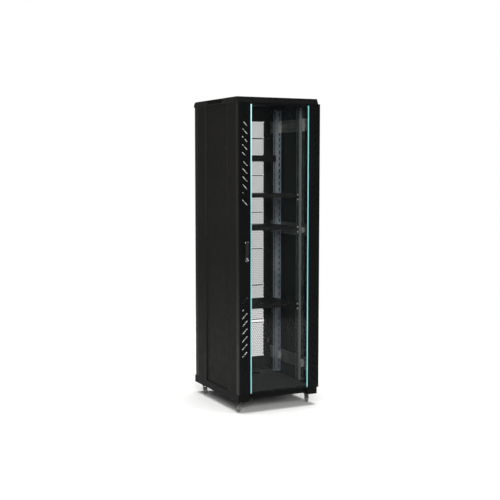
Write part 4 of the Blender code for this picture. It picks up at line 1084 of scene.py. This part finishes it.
low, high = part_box("power_strip")
z = (low.z + high.z) / 2
sockets, pins, screws = bmesh.new(), bmesh.new(), bmesh.new()
for i in range(OUTLETS):
    at = Vector((FIRST_OUTLET + i * OUTLET_STEP, high.y, z))
    add_ring(sockets, at, "Y", *mm(16.5, 19.5, 0.0, 3.2), 36, 0.6 * MM)
    well = ((0, 0.4), (16.6, 0.4), (16.6, 0), (0, 0))
    add_turned(sockets, at, "Y", [mm(*point) for point in well], 32)
    for way in (-1, 1):
        pin = at + Vector((way * PIN_REACH, 0.4 * MM, 0))
        add_ring(pins, pin, "Y", *mm(2.4, 3.4, 0.0, 0.7), 16, 0.1 * MM)
        clip = at + Vector((0, 0, way * CLIP_REACH))
        add_block(pins, clip + Vector(mm(-2.5, 0.4, -0.8)), clip + Vector(mm(2.5, 2.6, 0.8)))
fit(pins, "outlet_contacts", "bright_zinc", "cabinet")
for side in SIDES.values():
    for way in (-1, 1):
        at = (side * HOLE_COLUMN, low.y + 41 * MM, z + way * CLIP_REACH)
        add_screw(screws, at, "-Y", 4 * MM)
fit(screws, "power_strip_screws", "bright_zinc", "cabinet")
made = fit(sockets, "outlet_collars", "black_plastic", "cabinet")
print(made.name, OUTLETS, "outlets")

# %% [markdown]
# ## Finger guards over the roof fans
# A fan guard is welded from wire rings on a cross of straight wires. A ring of wire is a
# turned circle, so the same spinning function draws it. The guard lies just below the roof's
# top face.

# %% Fan guards
WIRE = 1.0 * MM
GUARD_RINGS = mm(12, 22, 32, 42, 52)


def fan_guard(hand):
    low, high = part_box(f"fan_rotor_{hand}")
    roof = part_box("roof_panel")[1].z
    x, y = (low.x + high.x) / 2, (low.y + high.y) / 2
    z = roof - WIRE - 0.1 * MM
    bm = bmesh.new()
    wire = around(8) + around(1)
    for radius in GUARD_RINGS:
        add_turned(bm, (x, y, z), "Z", [(radius + WIRE * c, WIRE * s) for c, s in wire], 40)
    for c, s in around(8)[1::2]:
        way = Vector((c, s, 0))
        start = Vector((x, y, z - 1.8 * WIRE)) + way * 10 * MM
        add_tube(bm, [start, start + way * 46 * MM], WIRE, 8, False)
    return fit(bm, f"fan_guard_{hand}", "bright_zinc", "cabinet")


for hand in SIDES:
    made = fan_guard(hand)
print(made.name, len(made.data.polygons), "faces")

# %% [markdown]
# ## Grip pads in the roof
# Each side of the top frame has a shallow dish, slanted at its front end, where hands can hold
# the roof. A matt moulded pad lines it. The pad is one flat outline given a little thickness,
# a hair smaller than the dish, so the coat still shows as a thin rim round it.

# %% Roof grip pads
GRIP_FRONT, GRIP_REAR, GRIP_SLANT, GRIP_FOOT, GRIP_DEPTH = mm(236, 487, 18, 9, 1)
PAD_RIM, PAD_BACK, PAD_FACE = mm(0.8, 0.02, 0.5)


def roof_pad(hand, side):
    low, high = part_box("top_frame")
    front, rear = low.y + GRIP_FRONT + PAD_RIM, low.y + GRIP_REAR - PAD_RIM
    foot, head = low.z + GRIP_FOOT + PAD_RIM, high.z - PAD_RIM
    outline = ((front, head), (front + GRIP_SLANT, foot), (rear, foot), (rear, head))
    bm = bmesh.new()
    rings = [[bm.verts.new((side * (high.x - GRIP_DEPTH + proud), y, z)) for y, z in outline]
             for proud in (PAD_BACK, PAD_FACE)]
    for ring in rings:
        bm.faces.new(ring)
    bridge(bm, *rings)
    return fit(bm, f"roof_grip_pad_{hand}", "pad_black", "cabinet", smooth=False)


for hand, side in SIDES.items():
    made = roof_pad(hand, side)
print(made.name, [round(v, 3) for v in made.dimensions])

# %% [markdown]
# ## Swivel casters
# A caster's wheel is a moulded tread on a hard hub. The tread is turned, with rounded
# shoulders and a groove on each side where it meets the hub. The hub has a raised boss and a
# bolt through it. Four bolts hold the plate, and a bearing race shows between plate and
# fork. The wheel's axle line comes from the joint that rolls it.

# %% Casters
joints = {joint["name"]: joint for joint in frame["joints"]}
WHEEL_HALF, NUT_REACH, BOLT_REACH = mm(10, 13.6, 23.5)
# The outlines give (inset from the tread, rise from the wheel's side) in millimetres, and
# the hub's first three points give (radius, rise).
TREAD = ((7, 1.2), (5.6, 0.2), (2.4, 0.6), (0.7, 2.4), (0, 5))
HUB = ((4.4, 0), (8, 0), (8.6, 1.6))
HUB_RIM = ((9, 2.6), (7.1, 1.6))


def both_ways(outline):
    """One side's outline of (radius, rise) and its mirror image, as a closed loop."""
    half = [(radius, rise * MM - WHEEL_HALF) for radius, rise in outline]
    return half + [(radius, -along) for radius, along in reversed(half)] + half[:1]


def caster(place):
    roll = joints[f"caster_{place}_roll"]
    centre, way = Vector(roll["pos_m"]), Vector(roll["axis"])
    wheel, fork = f"caster_wheel_{place}", f"caster_fork_{place}"
    wheel_low, wheel_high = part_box(wheel)
    radius = (wheel_high.z - wheel_low.z) / 2
    tyre, hub, bolt, race = bmesh.new(), bmesh.new(), bmesh.new(), bmesh.new()
    tread = [(radius - inset * MM, rise) for inset, rise in TREAD]
    add_turned(tyre, centre, way, both_ways(tread), 48)
    fit(tyre, f"caster_tyre_{place}", "caster_tread", wheel, (wheel,))
    disc = [(reach * MM, rise) for reach, rise in HUB]
    disc += [(radius - inset * MM, rise) for inset, rise in HUB_RIM]
    add_turned(hub, centre, way, both_ways(disc), 40)
    fit(hub, f"caster_hub_{place}", "caster_tread", wheel)
    for sign in (-1, 1):
        add_hex_bolt(bolt, centre + way * sign * NUT_REACH, way * sign, *mm(5, 3.4))
    fit(bolt, f"caster_axle_nuts_{place}", "bright_zinc", fork)
    plate_low, plate_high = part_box(f"caster_plate_{place}")
    x, y, _ = joints[f"caster_{place}_swivel"]["pos_m"]
    for dx in (-BOLT_REACH, BOLT_REACH):
        for dy in (-BOLT_REACH, BOLT_REACH):
            at = (x + dx, y + dy, plate_high.z - 3 * MM)
            add_hex_bolt(race, at, "-Z", *mm(4.2, 3.2))
    add_ring(race, (x, y, plate_low.z), "Z", *mm(14, 20.6, 0.0, 1.9), 40, 0.4 * MM)
    return fit(race, f"caster_plate_bolts_{place}", "bright_zinc", "cabinet")


for end in ENDS:
    for hand in SIDES:
        made = caster(f"{end}_{hand}")
print(made.name, "ready")

# %% [markdown]
# ## The room
# A pale floor, a pale surround and soft lamps: a large one above and in front to the left
# shapes the side panel, a weaker one on the right fills the door, and one overhead whitens
# the floor. The surround is white where it is looked at and dimmer as a lamp, as a studio
# with its walls drawn back would be, so that black paint stays black.

# %% Floor, surround and lamps
AS_LAMP = 0.10
FLOOR_RADIUS = 4.2
scene = bpy.context.scene
scene.view_settings.view_transform = "Standard"
world = bpy.data.worlds.new("surround")
scene.world = world
world.use_nodes = True
tree = world.node_tree
seen = node(tree, "LightPath").outputs["Is Camera Ray"]
back = tree.nodes["Background"]
back.inputs["Color"].default_value = (1, 1, 1, 1)
tree.links.new(mapped(tree, seen, (0.0, 1.0), (AS_LAMP, 1.0)), back.inputs["Strength"])

bm = bmesh.new()
bmesh.ops.create_circle(bm, cap_ends=True, segments=96, radius=FLOOR_RADIUS)
mesh = bpy.data.meshes.new("floor")
bm.to_mesh(mesh)
bm.free()
floor = add_object("floor", mesh)
finish("floor", (0.80, 0.80, 0.79), (0.84, 0.84, 0.83), (0.55, 0.7), 0.8, 60, 0.0001)
mesh.materials.append(looks["floor"])
floor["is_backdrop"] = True


def lamp(name, at, towards, size, power):
    made = add_object(name, bpy.data.lights.new(name, "AREA"))
    made.data.shape = "RECTANGLE"
    made.data.size, made.data.size_y = size
    made.data.energy = power
    made.location = at
    made.rotation_mode = "QUATERNION"
    made.rotation_quaternion = (Vector(towards) - Vector(at)).to_track_quat("-Z", "Y")


lamp("key", (-2.6, -6.2, 3.2), (0, 0, 1.0), (2.6, 2.6), 330)
lamp("fill", (4.5, -4.0, 2.2), (0, 0, 1.0), (3.0, 3.0), 60)
lamp("behind", (-5.0, 7.0, 2.2), (-0.3, 0, 1.0), (5.0, 5.0), 25)
overhead = add_object("overhead", bpy.data.lights.new("overhead", "SUN"))
overhead.data.energy = 4.2
overhead.data.angle = math.radians(40)

# %% [markdown]
# ## The size of the dressed cabinet
# The dressed cabinet must not be bigger than its solids. Both boxes are printed, so they
# can be compared.

# %% Sizes and the last line
low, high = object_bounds()
print("dressed box", [round(v, 4) for v in low], [round(v, 4) for v in high])
